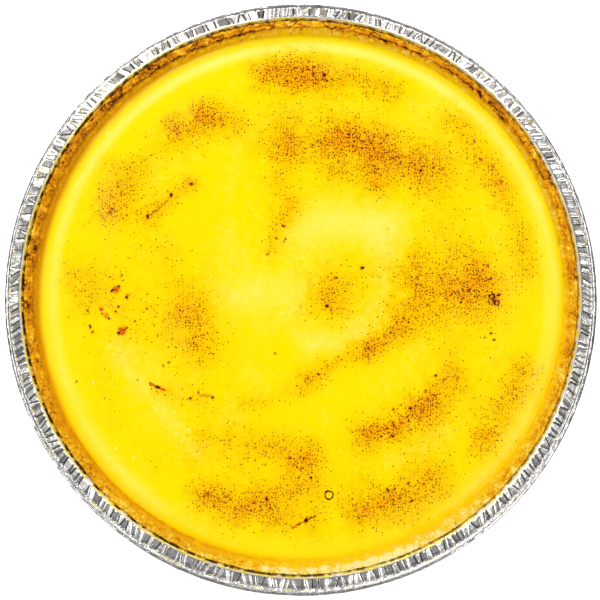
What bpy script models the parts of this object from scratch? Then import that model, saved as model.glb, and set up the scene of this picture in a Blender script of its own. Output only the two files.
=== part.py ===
"""Lemon tart baked in its foil flan tin, as three closed solids.

Lengths are in metres, +Z is up, and the origin lies under the middle of the
tin's rolled edge, on the surface that the tin stands on. The pieces are the
foil tin, the pastry case that lines it and the lemon filling in the case.
The tin's cup sits a little off the middle of its rolled edge, as it does on
a pressed foil tin, so the cup, the case and the filling share one offset.
"""

import math
import random
from functools import partial

import bmesh
import bpy
from mathutils import Matrix, Vector, noise

MM = 0.001

# The cup of the tin: a flat floor, a rounded foot and a wall that leans out.
MOUTH_RADIUS = 108.3 * MM          # inside of the wall, level with the lip's crest
LIP_HEIGHT = 26.0 * MM             # the lip's crest above the table
WALL_SLOPE = math.radians(25.0)    # how far the wall leans out from upright
FOOT_ROUNDING = 3.0 * MM           # inside radius between the floor and the wall
FOIL = 0.4 * MM                    # wall thickness, heavier than real foil
CUP_SHIFT = 1.1 * MM               # the cup's middle lies this far towards +Y
LIP_WIDTH = 0.7 * MM
LIP_DROP = 0.2 * MM                # the lip's two edges lie this far under its crest
LIP_UNDERSIDE = 1.0 * MM           # the wall's outer face ends this far under the crest

# The crimped flange between the lip and the rolled edge.
CRIMPS = 288
CRIMP_DEPTH = 0.6 * MM             # crest to groove
CRIMP_UNEVENNESS = 0.3             # share of a half pleat that a crest may wander
CRIMP_LOWEST = 0.6                 # the lowest and highest crests, as shares of the depth
CRIMP_HIGHEST = 1.25
FLANGE_START = 1.0 * MM            # first crimped line, outside the mouth
FLANGE_HEIGHT = 25.45 * MM         # middle of the foil at the lip
FLANGE_FALL = 0.6 * MM             # the flange is this much lower at the rolled edge
CRIMP_SEED = 7

# The rolled edge: a tube of foil, fatter on the -Y side.
EDGE_RADIUS = 115.0 * MM           # outside of the tin
ROLL_RADIUS = 1.12 * MM
ROLL_UNEVENNESS = 0.28
ROLL_HEIGHT = 24.3 * MM
ROLL_MEETS_FLANGE = math.radians(140.0)   # angle round the roll where foil comes in
ROLL_FACETS = 6
FLANGE_END = 2.2                   # last crimped line, in roll radii from the edge

# The pastry case.
CLEARANCE = 0.3 * MM               # gap between pieces that lie against each other
CASE_WALL = 3.0 * MM
CASE_FLOOR = 3.2 * MM
CASE_ROUNDING = 1.5 * MM           # inside radius between its floor and its wall
RIM_HEIGHT = 25.2 * MM             # mean height of the rim's crest
RIM_CRAG = 0.55 * MM               # how far crags stand above or below it
RIM_RAGGED = 0.7 * MM              # how far the rim's inner edge wanders
RIM_BULGE = 0.8 * MM               # extra width of the rim on the -Y side
RIM_ROUNDING = 0.9 * MM            # outer edge of the rim
RIM_BREAK = 1.1 * MM               # the inner edge breaks off this far under the crest
RIM_SLOPE = 0.7 * MM               # and this far in from it
CRAG_RATE = 26.0                   # coarse crags round the rim
CHIP_RATE = 85.0                   # fine chips on them
CRAG_SHARE = 0.55                  # share of the roughness that is coarse
CRAG_GAIN = 1.6                    # brings the roughness to between about -1 and 1
OUTER_LAYER = 11.0                 # which slice of the roughness each crest reads
INNER_LAYER = 23.0
EDGE_LAYER = 3.0

# The lemon filling: level in the middle, with a soft shoulder down to its edge.
FILLING_LEVEL = 22.8 * MM
EDGE_LEVEL = 21.6 * MM             # where the filling meets the case
SHOULDER_WIDTH = 9.5 * MM

# Low mounds on the filling, where it browned first: middle, reach and rise.
MOUNDS = [
    {"x": 12 * MM, "y": 86 * MM, "reach_x": 20 * MM, "reach_y": 5 * MM, "rise": 0.3 * MM},
    {"x": 22 * MM, "y": 58 * MM, "reach_x": 26 * MM, "reach_y": 13 * MM, "rise": 0.5 * MM},
    {"x": -39 * MM, "y": 69 * MM, "reach_x": 9 * MM, "reach_y": 8 * MM, "rise": 0.3 * MM},
    {"x": -71 * MM, "y": 40 * MM, "reach_x": 8 * MM, "reach_y": 12 * MM, "rise": 0.3 * MM},
    {"x": 58 * MM, "y": 4 * MM, "reach_x": 20 * MM, "reach_y": 14 * MM, "rise": 0.5 * MM},
    {"x": 15 * MM, "y": 1 * MM, "reach_x": 10 * MM, "reach_y": 11 * MM, "rise": 0.3 * MM},
    {"x": -39 * MM, "y": -13 * MM, "reach_x": 12 * MM, "reach_y": 15 * MM, "rise": 0.4 * MM},
    {"x": 36 * MM, "y": -48 * MM, "reach_x": 13 * MM, "reach_y": 9 * MM, "rise": 0.4 * MM},
    {"x": -25 * MM, "y": -76 * MM, "reach_x": 19 * MM, "reach_y": 8 * MM, "rise": 0.4 * MM},
    {"x": 37 * MM, "y": -76 * MM, "reach_x": 15 * MM, "reach_y": 9 * MM, "rise": 0.4 * MM},
]

PLAIN_STEPS = 96                   # facets round plain surfaces
RIM_STEPS = 240                    # facets round the craggy rim
FOOT_STEPS = 2
SMOOTH_BELOW = math.radians(40.0)

# Rings of the filling's top: distance in from its edge, and facets round.
TOP_BANDS = [
    (1.5 * MM, PLAIN_STEPS), (3.5 * MM, PLAIN_STEPS), (6.0 * MM, PLAIN_STEPS),
    (10.0 * MM, PLAIN_STEPS), (18.0 * MM, PLAIN_STEPS // 2), (30.0 * MM, PLAIN_STEPS // 2),
    (44.0 * MM, PLAIN_STEPS // 2), (60.0 * MM, PLAIN_STEPS // 4), (77.0 * MM, PLAIN_STEPS // 4),
    (91.0 * MM, PLAIN_STEPS // 8),
]


def clear_scene():
    """Remove what a new file holds."""
    for item in list(bpy.context.scene.objects):
        bpy.data.objects.remove(item, do_unlink=True)


def wall_radius(height, inset):
    """Radius of the cup's wall at a height, moved in square to the foil by inset."""
    leaning = (LIP_HEIGHT - height) * math.tan(WALL_SLOPE)
    return MOUTH_RADIUS - leaning - inset / math.cos(WALL_SLOPE)


def cup_side(inset, floor, rounding, top):
    """(radius, height) points up a cup's side: its rounded foot, then its wall's top."""
    middle_height = floor + rounding
    middle_radius = wall_radius(middle_height, inset) - rounding / math.cos(WALL_SLOPE)
    points = []
    for step in range(FOOT_STEPS + 1):
        angle = -math.pi / 2 + (math.pi / 2 - WALL_SLOPE) * step / FOOT_STEPS
        points.append((middle_radius + rounding * math.cos(angle),
                       middle_height + rounding * math.sin(angle)))
    points.append((wall_radius(top, inset), top))
    return points


def round_point(angle, radius, height, shift=CUP_SHIFT):
    """A point at an angle round the cup's own axis."""
    return Vector((radius * math.cos(angle), radius * math.sin(angle) + shift, height))


def round_rings(points, steps=PLAIN_STEPS):
    """A plain ring for each (radius, height) point."""
    return [(partial(round_point, radius=radius, height=height), steps) for radius, height in points]


def loft(rings):
    """Build a closed shell through (place, steps) rings and return its bmesh.

    place(angle) gives a ring's points. The rings are bridged as an even stack
    of circles, where each band is plain, and only then put in their places.
    """
    bm = bmesh.new()
    loops = []
    for level, (_, steps) in enumerate(rings):
        lift = Matrix.Translation((0.0, 0.0, level))
        circle = bmesh.ops.create_circle(bm, segments=steps, radius=1.0, matrix=lift)
        loops.append(circle["verts"])
    edges = [list({edge for vertex in loop for edge in vertex.link_edges}) for loop in loops]
    for lower, upper in zip(edges, edges[1:]):
        bmesh.ops.bridge_loops(bm, edges=lower + upper)
    for end in (edges[0], edges[-1]):
        bmesh.ops.contextual_create(bm, geom=end)
    for (place, steps), loop in zip(rings, loops):
        for step, vertex in enumerate(loop):
            vertex.co = place(math.tau * step / steps)
    return bm


def crag(angle, layer):
    """Fixed roughness round the rim, between about -1 and 1."""
    way = Vector((math.cos(angle), math.sin(angle), 0.0))
    coarse = noise.noise(way * CRAG_RATE + Vector((0.0, 0.0, layer)))
    fine = noise.noise(way * CHIP_RATE + Vector((0.0, 0.0, layer + 1.0)))
    return CRAG_GAIN * (CRAG_SHARE * coarse + (1.0 - CRAG_SHARE) * fine)


def add_piece(name, bm, colour, roughness, metallic):
    """Put the finished mesh in the scene as a named piece with its own material."""
    bmesh.ops.triangulate(bm, faces=bm.faces, quad_method="SHORT_EDGE")
    bmesh.ops.recalc_face_normals(bm, faces=bm.faces)
    mesh = bpy.data.meshes.new(name)
    bm.to_mesh(mesh)
    bm.free()
    mesh.shade_smooth()
    mesh.set_sharp_from_angle(angle=SMOOTH_BELOW)
    material = bpy.data.materials.new(name)
    material.use_nodes = True
    shader = material.node_tree.nodes["Principled BSDF"]
    shader.inputs["Base Color"].default_value = (*colour, 1.0)
    shader.inputs["Roughness"].default_value = roughness
    shader.inputs["Metallic"].default_value = metallic
    mesh.materials.append(material)
    piece = bpy.data.objects.new(name, mesh)
    bpy.context.scene.collection.objects.link(piece)


def roll_radius(angle):
    """Radius of the rolled edge's tube at an angle round the tin."""
    return ROLL_RADIUS * (1.0 - ROLL_UNEVENNESS * math.sin(angle))


def roll_point(angle, around):
    """A point on the rolled edge, at an angle round it from its outermost line."""
    roll = roll_radius(angle)
    radius = EDGE_RADIUS - roll + roll * math.cos(around)
    return round_point(angle, radius, ROLL_HEIGHT + roll * math.sin(around), shift=0.0)


def flange_end_point(angle):
    """The middle of the foil where the crimps run into the rolled edge."""
    radius = EDGE_RADIUS - FLANGE_END * roll_radius(angle)
    return round_point(angle, radius, FLANGE_HEIGHT - FLANGE_FALL, shift=0.0)


def flange_start_point(angle):
    """The middle of the foil where the crimps begin, just outside the lip."""
    return round_point(angle, MOUTH_RADIUS + FLANGE_START, FLANGE_HEIGHT)


def crimp_pleats():
    """For each half pleat, its angle and its height over the flange's middle."""
    draw = random.Random(CRIMP_SEED)
    half_pleat = math.tau / (2 * CRIMPS)
    pleats = []
    for index in range(2 * CRIMPS):
        wander = draw.uniform(-CRIMP_UNEVENNESS, CRIMP_UNEVENNESS)
        side = 1.0 if index % 2 else -1.0
        height = side * CRIMP_DEPTH / 2 * draw.uniform(CRIMP_LOWEST, CRIMP_HIGHEST)
        pleats.append(((index + wander) * half_pleat, height))
    return pleats


def crimped_ring(pleats, middle, face):
    """A pleated ring that lies `face` above the foil's middle line."""
    def place(even_angle):
        angle, height = pleats[round(even_angle / math.tau * len(pleats))]
        return middle(angle) + Vector((0.0, 0.0, height + face))
    return place, len(pleats)


def make_foil_tin():
    """Flan tin: a thin cup, a lip, a crimped flange and a rolled edge."""
    outside = cup_side(-FOIL, 0.0, FOOT_ROUNDING + FOIL, LIP_HEIGHT - LIP_UNDERSIDE)
    inside = cup_side(0.0, FOIL, FOOT_ROUNDING, LIP_HEIGHT - LIP_DROP)
    lip = [(MOUTH_RADIUS + LIP_WIDTH, LIP_HEIGHT - LIP_DROP),
           (MOUTH_RADIUS + LIP_WIDTH / 2, LIP_HEIGHT)]
    pleats = crimp_pleats()
    rings = round_rings(outside)
    rings.append(crimped_ring(pleats, flange_start_point, -FOIL / 2))
    rings.append(crimped_ring(pleats, flange_end_point, -FOIL / 2))
    for facet in range(ROLL_FACETS + 1):
        around = ROLL_MEETS_FLANGE * (2 * facet / ROLL_FACETS - 1)
        rings.append((partial(roll_point, around=around), PLAIN_STEPS))
    rings.append(crimped_ring(pleats, flange_end_point, FOIL / 2))
    rings.append(crimped_ring(pleats, flange_start_point, FOIL / 2))
    rings += round_rings(lip + inside[::-1])
    add_piece("foil_tin", loft(rings), colour=(0.80, 0.79, 0.77), roughness=0.28, metallic=1.0)


def rim_height(angle, layer):
    """Height of the craggy rim at an angle."""
    return RIM_HEIGHT + RIM_CRAG * crag(angle, layer)


def rim_inner_radius(angle):
    """Where the rim's top breaks off towards the filling, wider on the -Y side."""
    even = wall_radius(RIM_HEIGHT, CLEARANCE + CASE_WALL)
    bulge = RIM_BULGE * max(0.0, -math.sin(angle))
    return even - bulge + RIM_RAGGED * crag(angle, EDGE_LAYER)


def outer_shoulder(angle):
    """The rounded outer edge of the rim."""
    height = rim_height(angle, OUTER_LAYER) - RIM_ROUNDING
    return round_point(angle, wall_radius(height, CLEARANCE), height)


def outer_crest(angle):
    """The rim's top, near the foil."""
    radius = wall_radius(RIM_HEIGHT, CLEARANCE) - RIM_ROUNDING
    return round_point(angle, radius, rim_height(angle, OUTER_LAYER))


def inner_crest(angle):
    """The rim's top, near the filling."""
    return round_point(angle, rim_inner_radius(angle), rim_height(angle, INNER_LAYER))


def inner_break(angle):
    """Where the rim has broken off towards the filling."""
    height = rim_height(angle, INNER_LAYER) - RIM_BREAK
    return round_point(angle, rim_inner_radius(angle) - RIM_SLOPE, height)


def slope_foot(angle):
    """The foot of the rim's inner slope, where the filling begins."""
    return round_point(angle, wall_radius(EDGE_LEVEL, CLEARANCE + CASE_WALL), EDGE_LEVEL + CLEARANCE)


def make_pastry_case():
    """Pastry case: a floor, a wall against the foil and a craggy browned rim."""
    low_rim = RIM_HEIGHT - RIM_CRAG - 2 * RIM_ROUNDING
    outside = cup_side(CLEARANCE, FOIL + CLEARANCE, FOOT_ROUNDING - CLEARANCE, low_rim)
    inside = cup_side(CLEARANCE + CASE_WALL, FOIL + CLEARANCE + CASE_FLOOR, CASE_ROUNDING,
                      EDGE_LEVEL - RIM_BREAK)
    rings = round_rings(outside)
    for place in (outer_shoulder, outer_crest, inner_crest, inner_break, slope_foot):
        rings.append((place, RIM_STEPS))
    rings += round_rings(inside[::-1])
    add_piece("pastry_case", loft(rings), colour=(0.62, 0.30, 0.05), roughness=0.75, metallic=0.0)


def filling_radius():
    """Radius of the filling's edge, clear of the case."""
    return wall_radius(EDGE_LEVEL, 2 * CLEARANCE + CASE_WALL)


def filling_point(angle, inward):
    """A point on the filling's top, this far in from its edge."""
    above_edge = 1.0 - max(0.0, 1.0 - inward / SHOULDER_WIDTH) ** 2
    height = EDGE_LEVEL + (FILLING_LEVEL - EDGE_LEVEL) * above_edge
    point = round_point(angle, filling_radius() - inward, height)
    for mound in MOUNDS:
        away_x = (point.x - mound["x"]) / mound["reach_x"]
        away_y = (point.y - mound["y"]) / mound["reach_y"]
        point.z += mound["rise"] * above_edge * math.exp(-away_x ** 2 - away_y ** 2)
    return point


def make_lemon_filling():
    """Lemon filling: fills the case up to a gently uneven top."""
    inset = 2 * CLEARANCE + CASE_WALL
    floor = FOIL + 2 * CLEARANCE + CASE_FLOOR
    rings = round_rings(cup_side(inset, floor, CASE_ROUNDING, EDGE_LEVEL))
    for inward, steps in TOP_BANDS:
        rings.append((partial(filling_point, inward=inward), steps))
    add_piece("lemon_filling", loft(rings), colour=(0.95, 0.78, 0.02), roughness=0.35, metallic=0.0)


def main():
    """Build the tart."""
    clear_scene()
    make_foil_tin()
    make_pastry_case()
    make_lemon_filling()


main()
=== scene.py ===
"""Looks of a round lemon tart, baked and sold in its pressed foil flan tin.

Lengths are in metres and +Z is up. The tin, the pastry case and the lemon
filling each stand for the plain solid of the same name, on the same form:
the tin's cup leans out evenly and lies a little off the middle of its rolled
edge, and the case and the filling share that offset.
"""

import logging
import math
import random
from dataclasses import dataclass, field
from enum import Enum
from functools import partial
from typing import Callable, Sequence

import bmesh
import bpy
import numpy as np
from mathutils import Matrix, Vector, noise


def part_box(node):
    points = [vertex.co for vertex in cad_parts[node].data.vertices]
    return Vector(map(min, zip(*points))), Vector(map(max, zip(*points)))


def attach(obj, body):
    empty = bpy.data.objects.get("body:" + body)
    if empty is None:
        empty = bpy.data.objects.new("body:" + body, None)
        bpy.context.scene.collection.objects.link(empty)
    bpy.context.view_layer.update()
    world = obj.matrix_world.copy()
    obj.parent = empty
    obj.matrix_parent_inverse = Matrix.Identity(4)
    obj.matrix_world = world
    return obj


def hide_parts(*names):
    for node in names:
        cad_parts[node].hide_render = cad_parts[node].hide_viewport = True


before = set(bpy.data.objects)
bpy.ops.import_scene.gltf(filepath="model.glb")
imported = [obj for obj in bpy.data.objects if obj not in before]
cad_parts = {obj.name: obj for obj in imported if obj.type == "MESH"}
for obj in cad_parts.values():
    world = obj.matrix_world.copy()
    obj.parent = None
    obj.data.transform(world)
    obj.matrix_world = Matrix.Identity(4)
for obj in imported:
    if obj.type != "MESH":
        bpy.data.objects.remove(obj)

MM = 0.001
TAU = math.tau
BODY = "root"
log = logging.getLogger("lemon_tart")

Pair = tuple[float, float]
Pairs = Sequence[Pair]
Place = Callable[[float], Vector]
Piece = bpy.types.Object
Mesh = bmesh.types.BMesh
Tree = bpy.types.NodeTree
Socket = bpy.types.NodeSocket
Array = np.ndarray

# Sockets of a Mix node that mixes colours.
MIX_SHARE, MIX_FIRST, MIX_SECOND, MIX_OUT = 0, 6, 7, 2


class Field(Enum):
    """Numbers stored on the points of a piece, which its finish reads."""

    BROWNING = "browning"
    SCORCH = "scorch"
    EMBER = "ember"
    PALE = "pale"
    AMBER = "amber"
    STAIN = "stain"
    PAINTED_SHADE = "fold"
    TURN = "turn"
    RING = "ring"


# ---- Small helpers ----

def linear(hex_colour: str) -> tuple[float, ...]:
    """Turn an sRGB hex colour, such as "FCE607", into linear light with an alpha of one."""
    channels = [int(hex_colour[at:at + 2], 16) / 255.0 for at in (0, 2, 4)]
    return (*(c / 12.92 if c <= 0.04045 else ((c + 0.055) / 1.055) ** 2.4 for c in channels), 1.0)


def feed(tree: Tree, node: bpy.types.Node, inputs: dict | Sequence) -> None:
    """Link or set a node's inputs.

    Args:
        tree: The node tree that holds it.
        node: The node.
        inputs: Sockets or plain values, by name or number, or in the inputs' order.
    """
    for key, value in inputs.items() if isinstance(inputs, dict) else enumerate(inputs):
        if isinstance(value, Socket):
            tree.links.new(value, node.inputs[key])
        else:
            node.inputs[key].default_value = value


def add_node(tree: Tree, kind: str, inputs: dict | Sequence = (), out: int | str = 0,
             **settings: object) -> Socket:
    """Add a shader node, set it and link it.

    Args:
        tree: The node tree that takes it.
        kind: The node's type, such as "TexNoise".
        inputs: A socket of another node or a plain value for each input.
        out: Which of its outputs is wanted, by name or number.
        **settings: Values of the node itself.

    Returns:
        That output.
    """
    node = tree.nodes.new("ShaderNode" + kind)
    for name, value in settings.items():
        setattr(node, name, value)
    feed(tree, node, inputs)
    return node.outputs[out]


def start_material(name: str, *fields: Field) -> tuple:
    """Start a material.

    Args:
        name: The material's name.
        *fields: What it reads from its piece.

    Returns:
        The material, its tree, its shader, the place on the piece in metres and those fields.
    """
    material = bpy.data.materials.new(name)
    material.use_nodes = True
    tree = material.node_tree
    where = add_node(tree, "TexCoord", out="Object")
    read = [add_node(tree, "Attribute", out="Fac", attribute_name=kept.value) for kept in fields]
    return material, tree, tree.nodes["Principled BSDF"], where, read


def dress_shader(tree: Tree, shader: bpy.types.Node, relief: Sequence[tuple[Socket, float]],
                 inputs: dict) -> None:
    """Give a shader its relief and its other inputs.

    Args:
        tree: The material's node tree.
        shader: The shader.
        relief: Heights with their depths, coarse before fine.
        inputs: What else goes into its sockets.
    """
    normal = {}
    for height, depth in relief:
        bump = {"Height": height, "Distance": depth, "Strength": 1.0} | normal
        normal = {"Normal": add_node(tree, "Bump", bump)}
    feed(tree, shader, normal | inputs)


def tint(tree: Tree, under: Socket | str, over: Socket | str, share: Socket,
         start: float | None = None, end: float | None = None) -> Socket:
    """Lay a colour over another as a share rises.

    Args:
        tree: The material's node tree.
        under: The colour below, a socket or a hex colour.
        over: The colour laid over it, likewise.
        share: What decides how much of it shows.
        start: The share at which it begins to show. Without one, the share is used as it is.
        end: The share at which it covers.

    Returns:
        The socket with the mixed colour.
    """
    if start is not None:
        share = add_node(tree, "MapRange", (share, start, end), interpolation_type="SMOOTHSTEP")
    under, over = (linear(tone) if isinstance(tone, str) else tone for tone in (under, over))
    return add_node(tree, "Mix", {MIX_SHARE: share, MIX_FIRST: under, MIX_SECOND: over},
                    MIX_OUT, data_type="RGBA")


def smooth_step(value: Array) -> Array:
    """Ease values from 0 to 1, held between the two."""
    held = np.clip(value, 0.0, 1.0)
    return held * held * (3.0 - 2.0 * held)


def towards(angle: Array, degrees: float) -> Array:
    """How far angles turn to one side: 1 straight to it, -1 straight away."""
    return np.cos(angle - math.radians(degrees))


def facing(angle: Array, degrees: float) -> Array:
    """How far angles turn to one side: 1 straight to it, 0 straight away."""
    return 0.5 + 0.5 * towards(angle, degrees)


def bell(distance: Array) -> Array:
    """A soft bell: 1 at no distance, about a third at a distance of 1."""
    return np.exp(-distance ** 2)


def rough(places: Array, size: float, seed: float) -> Array:
    """Read smooth noise at many places.

    Args:
        places: Where to read it, in metres, one row each.
        size: About how wide one bump is, in metres.
        seed: Which slice of the noise is read.

    Returns:
        One value a place, between about -1 and 1.
    """
    offset = Vector((seed * 17.3, seed * 5.9, seed * 11.1))
    return np.array([noise.noise(Vector(row) / size + offset) for row in places]) * 1.6


def round_way(angle: float) -> Vector:
    """The level direction at an angle."""
    return Vector((math.cos(angle), math.sin(angle), 0.0))


def lathe(rings: Sequence[Place], steps: int) -> Mesh:
    """Roll a flat net into a tube, close its ends, then put each ring in its place.

    Args:
        rings: For each ring, from one end to the other, a function that
            gives the point at an angle.
        steps: How many steps the turn takes.

    Returns:
        A closed shell, whose points keep the angle and the ring that they came from.
    """
    bm = bmesh.new()
    last = len(rings) - 1
    bmesh.ops.create_grid(bm, x_segments=steps, y_segments=last, size=0.5)
    seam = [vertex for vertex in bm.verts if abs(vertex.co.x) > 0.5 - 0.5 / steps]
    for vertex in bm.verts:
        angle = TAU * (vertex.co.x + 0.5)
        level = round((vertex.co.y + 0.5) * last)
        vertex.co = (math.cos(angle), math.sin(angle), level)
    bmesh.ops.remove_doubles(bm, verts=seam, dist=1.0 / steps)
    for level in (0, last):
        end = [edge for edge in bm.edges
               if edge.is_boundary and round(edge.verts[0].co.z) == level]
        cap = bmesh.ops.contextual_create(bm, geom=end)["faces"]
        bmesh.ops.poke(bm, faces=cap)
    turn, ring = (bm.verts.layers.float.new(kept.value) for kept in (Field.TURN, Field.RING))
    for vertex in bm.verts:
        level = round(vertex.co.z)
        vertex[turn] = math.atan2(vertex.co.y, vertex.co.x) % TAU
        vertex[ring] = level
        if vertex.co.xy.length > 0.5:
            vertex.co = rings[level](vertex[turn])
        else:
            vertex.co = (rings[level](0.0) + rings[level](math.pi)) / 2
    return bm


def finish_piece(name: str, bm: Mesh, material: bpy.types.Material,
                 sharp_from: float = math.radians(60.0)) -> Piece:
    """Make an object of a finished mesh, at the origin, unturned and unscaled.

    Args:
        name: The piece's name.
        bm: Its mesh, which is freed.
        material: Its finish.
        sharp_from: Edges that fold by more than this stay sharp.

    Returns:
        The new object, in the scene.
    """
    bmesh.ops.recalc_face_normals(bm, faces=bm.faces)
    mesh = bpy.data.meshes.new(name)
    bm.to_mesh(mesh)
    bm.free()
    mesh.shade_smooth()
    mesh.set_sharp_from_angle(angle=sharp_from)
    mesh.materials.append(material)
    piece = bpy.data.objects.new(name, mesh)
    bpy.context.scene.collection.objects.link(piece)
    return piece


def set_fields(piece: Piece, fields: dict[Field, Array]) -> None:
    """Store numbers on the points of a piece, for its material to read.

    Args:
        piece: The piece.
        fields: One number a point for each field.
    """
    for kept, values in fields.items():
        attribute = piece.data.attributes.new(kept.value, "FLOAT", "POINT")
        attribute.data.foreach_set("value", np.asarray(values, np.float32))


def read_field(piece: Piece, kept: Field) -> Array:
    """Read a field back from a piece.

    Args:
        piece: The piece.
        kept: The field.

    Returns:
        One number a point.
    """
    values = np.empty(len(piece.data.vertices))
    piece.data.attributes[kept.value].data.foreach_get("value", values)
    return values


def places_of(piece: Piece) -> Array:
    """Read where the points of a piece lie.

    Args:
        piece: The piece.

    Returns:
        One row a point.
    """
    flat = np.empty(len(piece.data.vertices) * 3)
    piece.data.vertices.foreach_get("co", flat)
    return flat.reshape(-1, 3)


# ---- The form that tin, case and filling share ----

@dataclass(frozen=True)
class CupForm:
    """The tin's cup and what lies in it, as the solids have them."""

    edge_radius: float
    mouth_radius: float = 108.3 * MM
    lip_height: float = 26.0 * MM
    wall_slope: float = math.radians(25.0)
    foot_rounding: float = 3.0 * MM
    foil: float = 0.4 * MM
    shift: float = 1.1 * MM
    clearance: float = 0.3 * MM
    case_wall: float = 3.0 * MM
    case_floor: float = 3.2 * MM
    case_rounding: float = 1.5 * MM
    edge_level: float = 21.6 * MM

    def wall_radius(self, height: float, inset: float) -> float:
        """Radius of the cup's wall at a height, moved in square to the foil."""
        leaning = (self.lip_height - height) * math.tan(self.wall_slope)
        return self.mouth_radius - leaning - inset / math.cos(self.wall_slope)

    def point(self, angle: float, radius: float, height: float,
              shift: float | None = None) -> Vector:
        """A point at an angle round the cup's own axis, or round the edge's with a shift of 0."""
        off = self.shift if shift is None else shift
        return Vector((radius * math.cos(angle), radius * math.sin(angle) + off, height))

    def polar(self, places: Array) -> tuple[Array, Array]:
        """The angle and radius of places round the cup's own axis."""
        across, along = places[:, 0], places[:, 1] - self.shift
        return np.arctan2(along, across), np.hypot(across, along)

    def side(self, inset: float, floor: float, rounding: float, top: float,
             foot_steps: int, wall_steps: int) -> Pairs:
        """Points up the cup's side: its rounded foot, then its wall.

        Args:
            inset: How far in from the foil's inner face, square to it.
            floor: Height of the floor there.
            rounding: Radius of the foot.
            top: Where the wall ends.
            foot_steps: Steps along the foot's arc.
            wall_steps: Steps up the wall.

        Returns:
            (radius, height) pairs, from the floor up.
        """
        middle = floor + rounding
        middle_radius = self.wall_radius(middle, inset) - rounding / math.cos(self.wall_slope)
        points = []
        for step in range(foot_steps + 1):
            angle = -math.pi / 2 + (math.pi / 2 - self.wall_slope) * step / foot_steps
            points.append((middle_radius + rounding * math.cos(angle),
                           middle + rounding * math.sin(angle)))
        foot_top = points[-1][1]
        for step in range(1, wall_steps + 1):
            height = foot_top + (top - foot_top) * step / wall_steps
            points.append((self.wall_radius(height, inset), height))
        return points

    def rings(self, points: Pairs) -> list[Place]:
        """Plain rings of the cup through (radius, height) points."""
        return [partial(self.point, radius=radius, height=height) for radius, height in points]

    @property
    def case_foot(self) -> float:
        """Where the case's inner wall meets the filling's edge."""
        return self.wall_radius(self.edge_level, self.clearance + self.case_wall)


# ---- Finishes ----

@dataclass(frozen=True)
class PressedFoil:
    """Bright aluminium foil, rolled thin and pressed into folds.

    Real foil is nearly a mirror: each flat of a fold shows one patch of the
    room, white or dark, and fine creases and roll marks break it up.
    """

    colour: str = "EFEDEA"
    dull: str = "2C221A"                    # painted shade: deep in a fold, in the gap and on dark flats, where little light gets in
    butter: str = "F4DA4C"                  # where butter and custard browned on the foil
    burnt: str = "3E1A04"                   # burnt butter and custard, which tint the painted shade where the foil is stained, as in the gap behind the crust
    roughness: float = 0.16
    crease_width: float = 1.3 * MM
    crease_depth: float = 0.07 * MM
    fine_crease_width: float = 0.5 * MM     # real ones are finer, drawn so that they show
    fine_crease_depth: float = 0.015 * MM

    def make(self) -> bpy.types.Material:
        """Build the material.

        Returns:
            The foil's material, which reads how stained each point is and its painted shade.
        """
        material, tree, shader, where, (stain, painted_shade) = start_material(
            "pressed_aluminium_foil", Field.STAIN, Field.PAINTED_SHADE)
        creases = add_node(tree, "TexNoise", {
            "Vector": where, "Scale": 1.0 / self.crease_width, "Detail": 2.0, "Roughness": 0.6})
        fine = add_node(tree, "TexVoronoi",
                        {"Vector": where, "Scale": 1.0 / self.fine_crease_width})
        dull = add_node(tree, "MapRange",
                        (creases, 0.0, 1.0, self.roughness * 0.7, self.roughness * 1.5))
        deepest = add_node(tree, "MapRange", (painted_shade, 0.6, 1.0, 0.0, 0.5))
        tone = tint(tree, self.colour, self.butter, stain, 0.0, 1.0)
        dark = tint(tree, self.dull, self.burnt, stain, 0.1, 0.7)
        # The painted shade darkens the foil in its folds, in the gap and on flats that stand for dark
        # reflections.
        dress_shader(tree, shader, ((creases, self.crease_depth), (fine, self.fine_crease_depth)), {
            "Base Color": tint(tree, tone, dark, painted_shade, 0.1, 1.0),
            "Metallic": add_node(tree, "MapRange", (stain, 0.0, 0.4, 1.0, 0.25)),
            "Roughness": add_node(tree, "Math", (deepest, dull), operation="ADD")})
        return material


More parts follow.
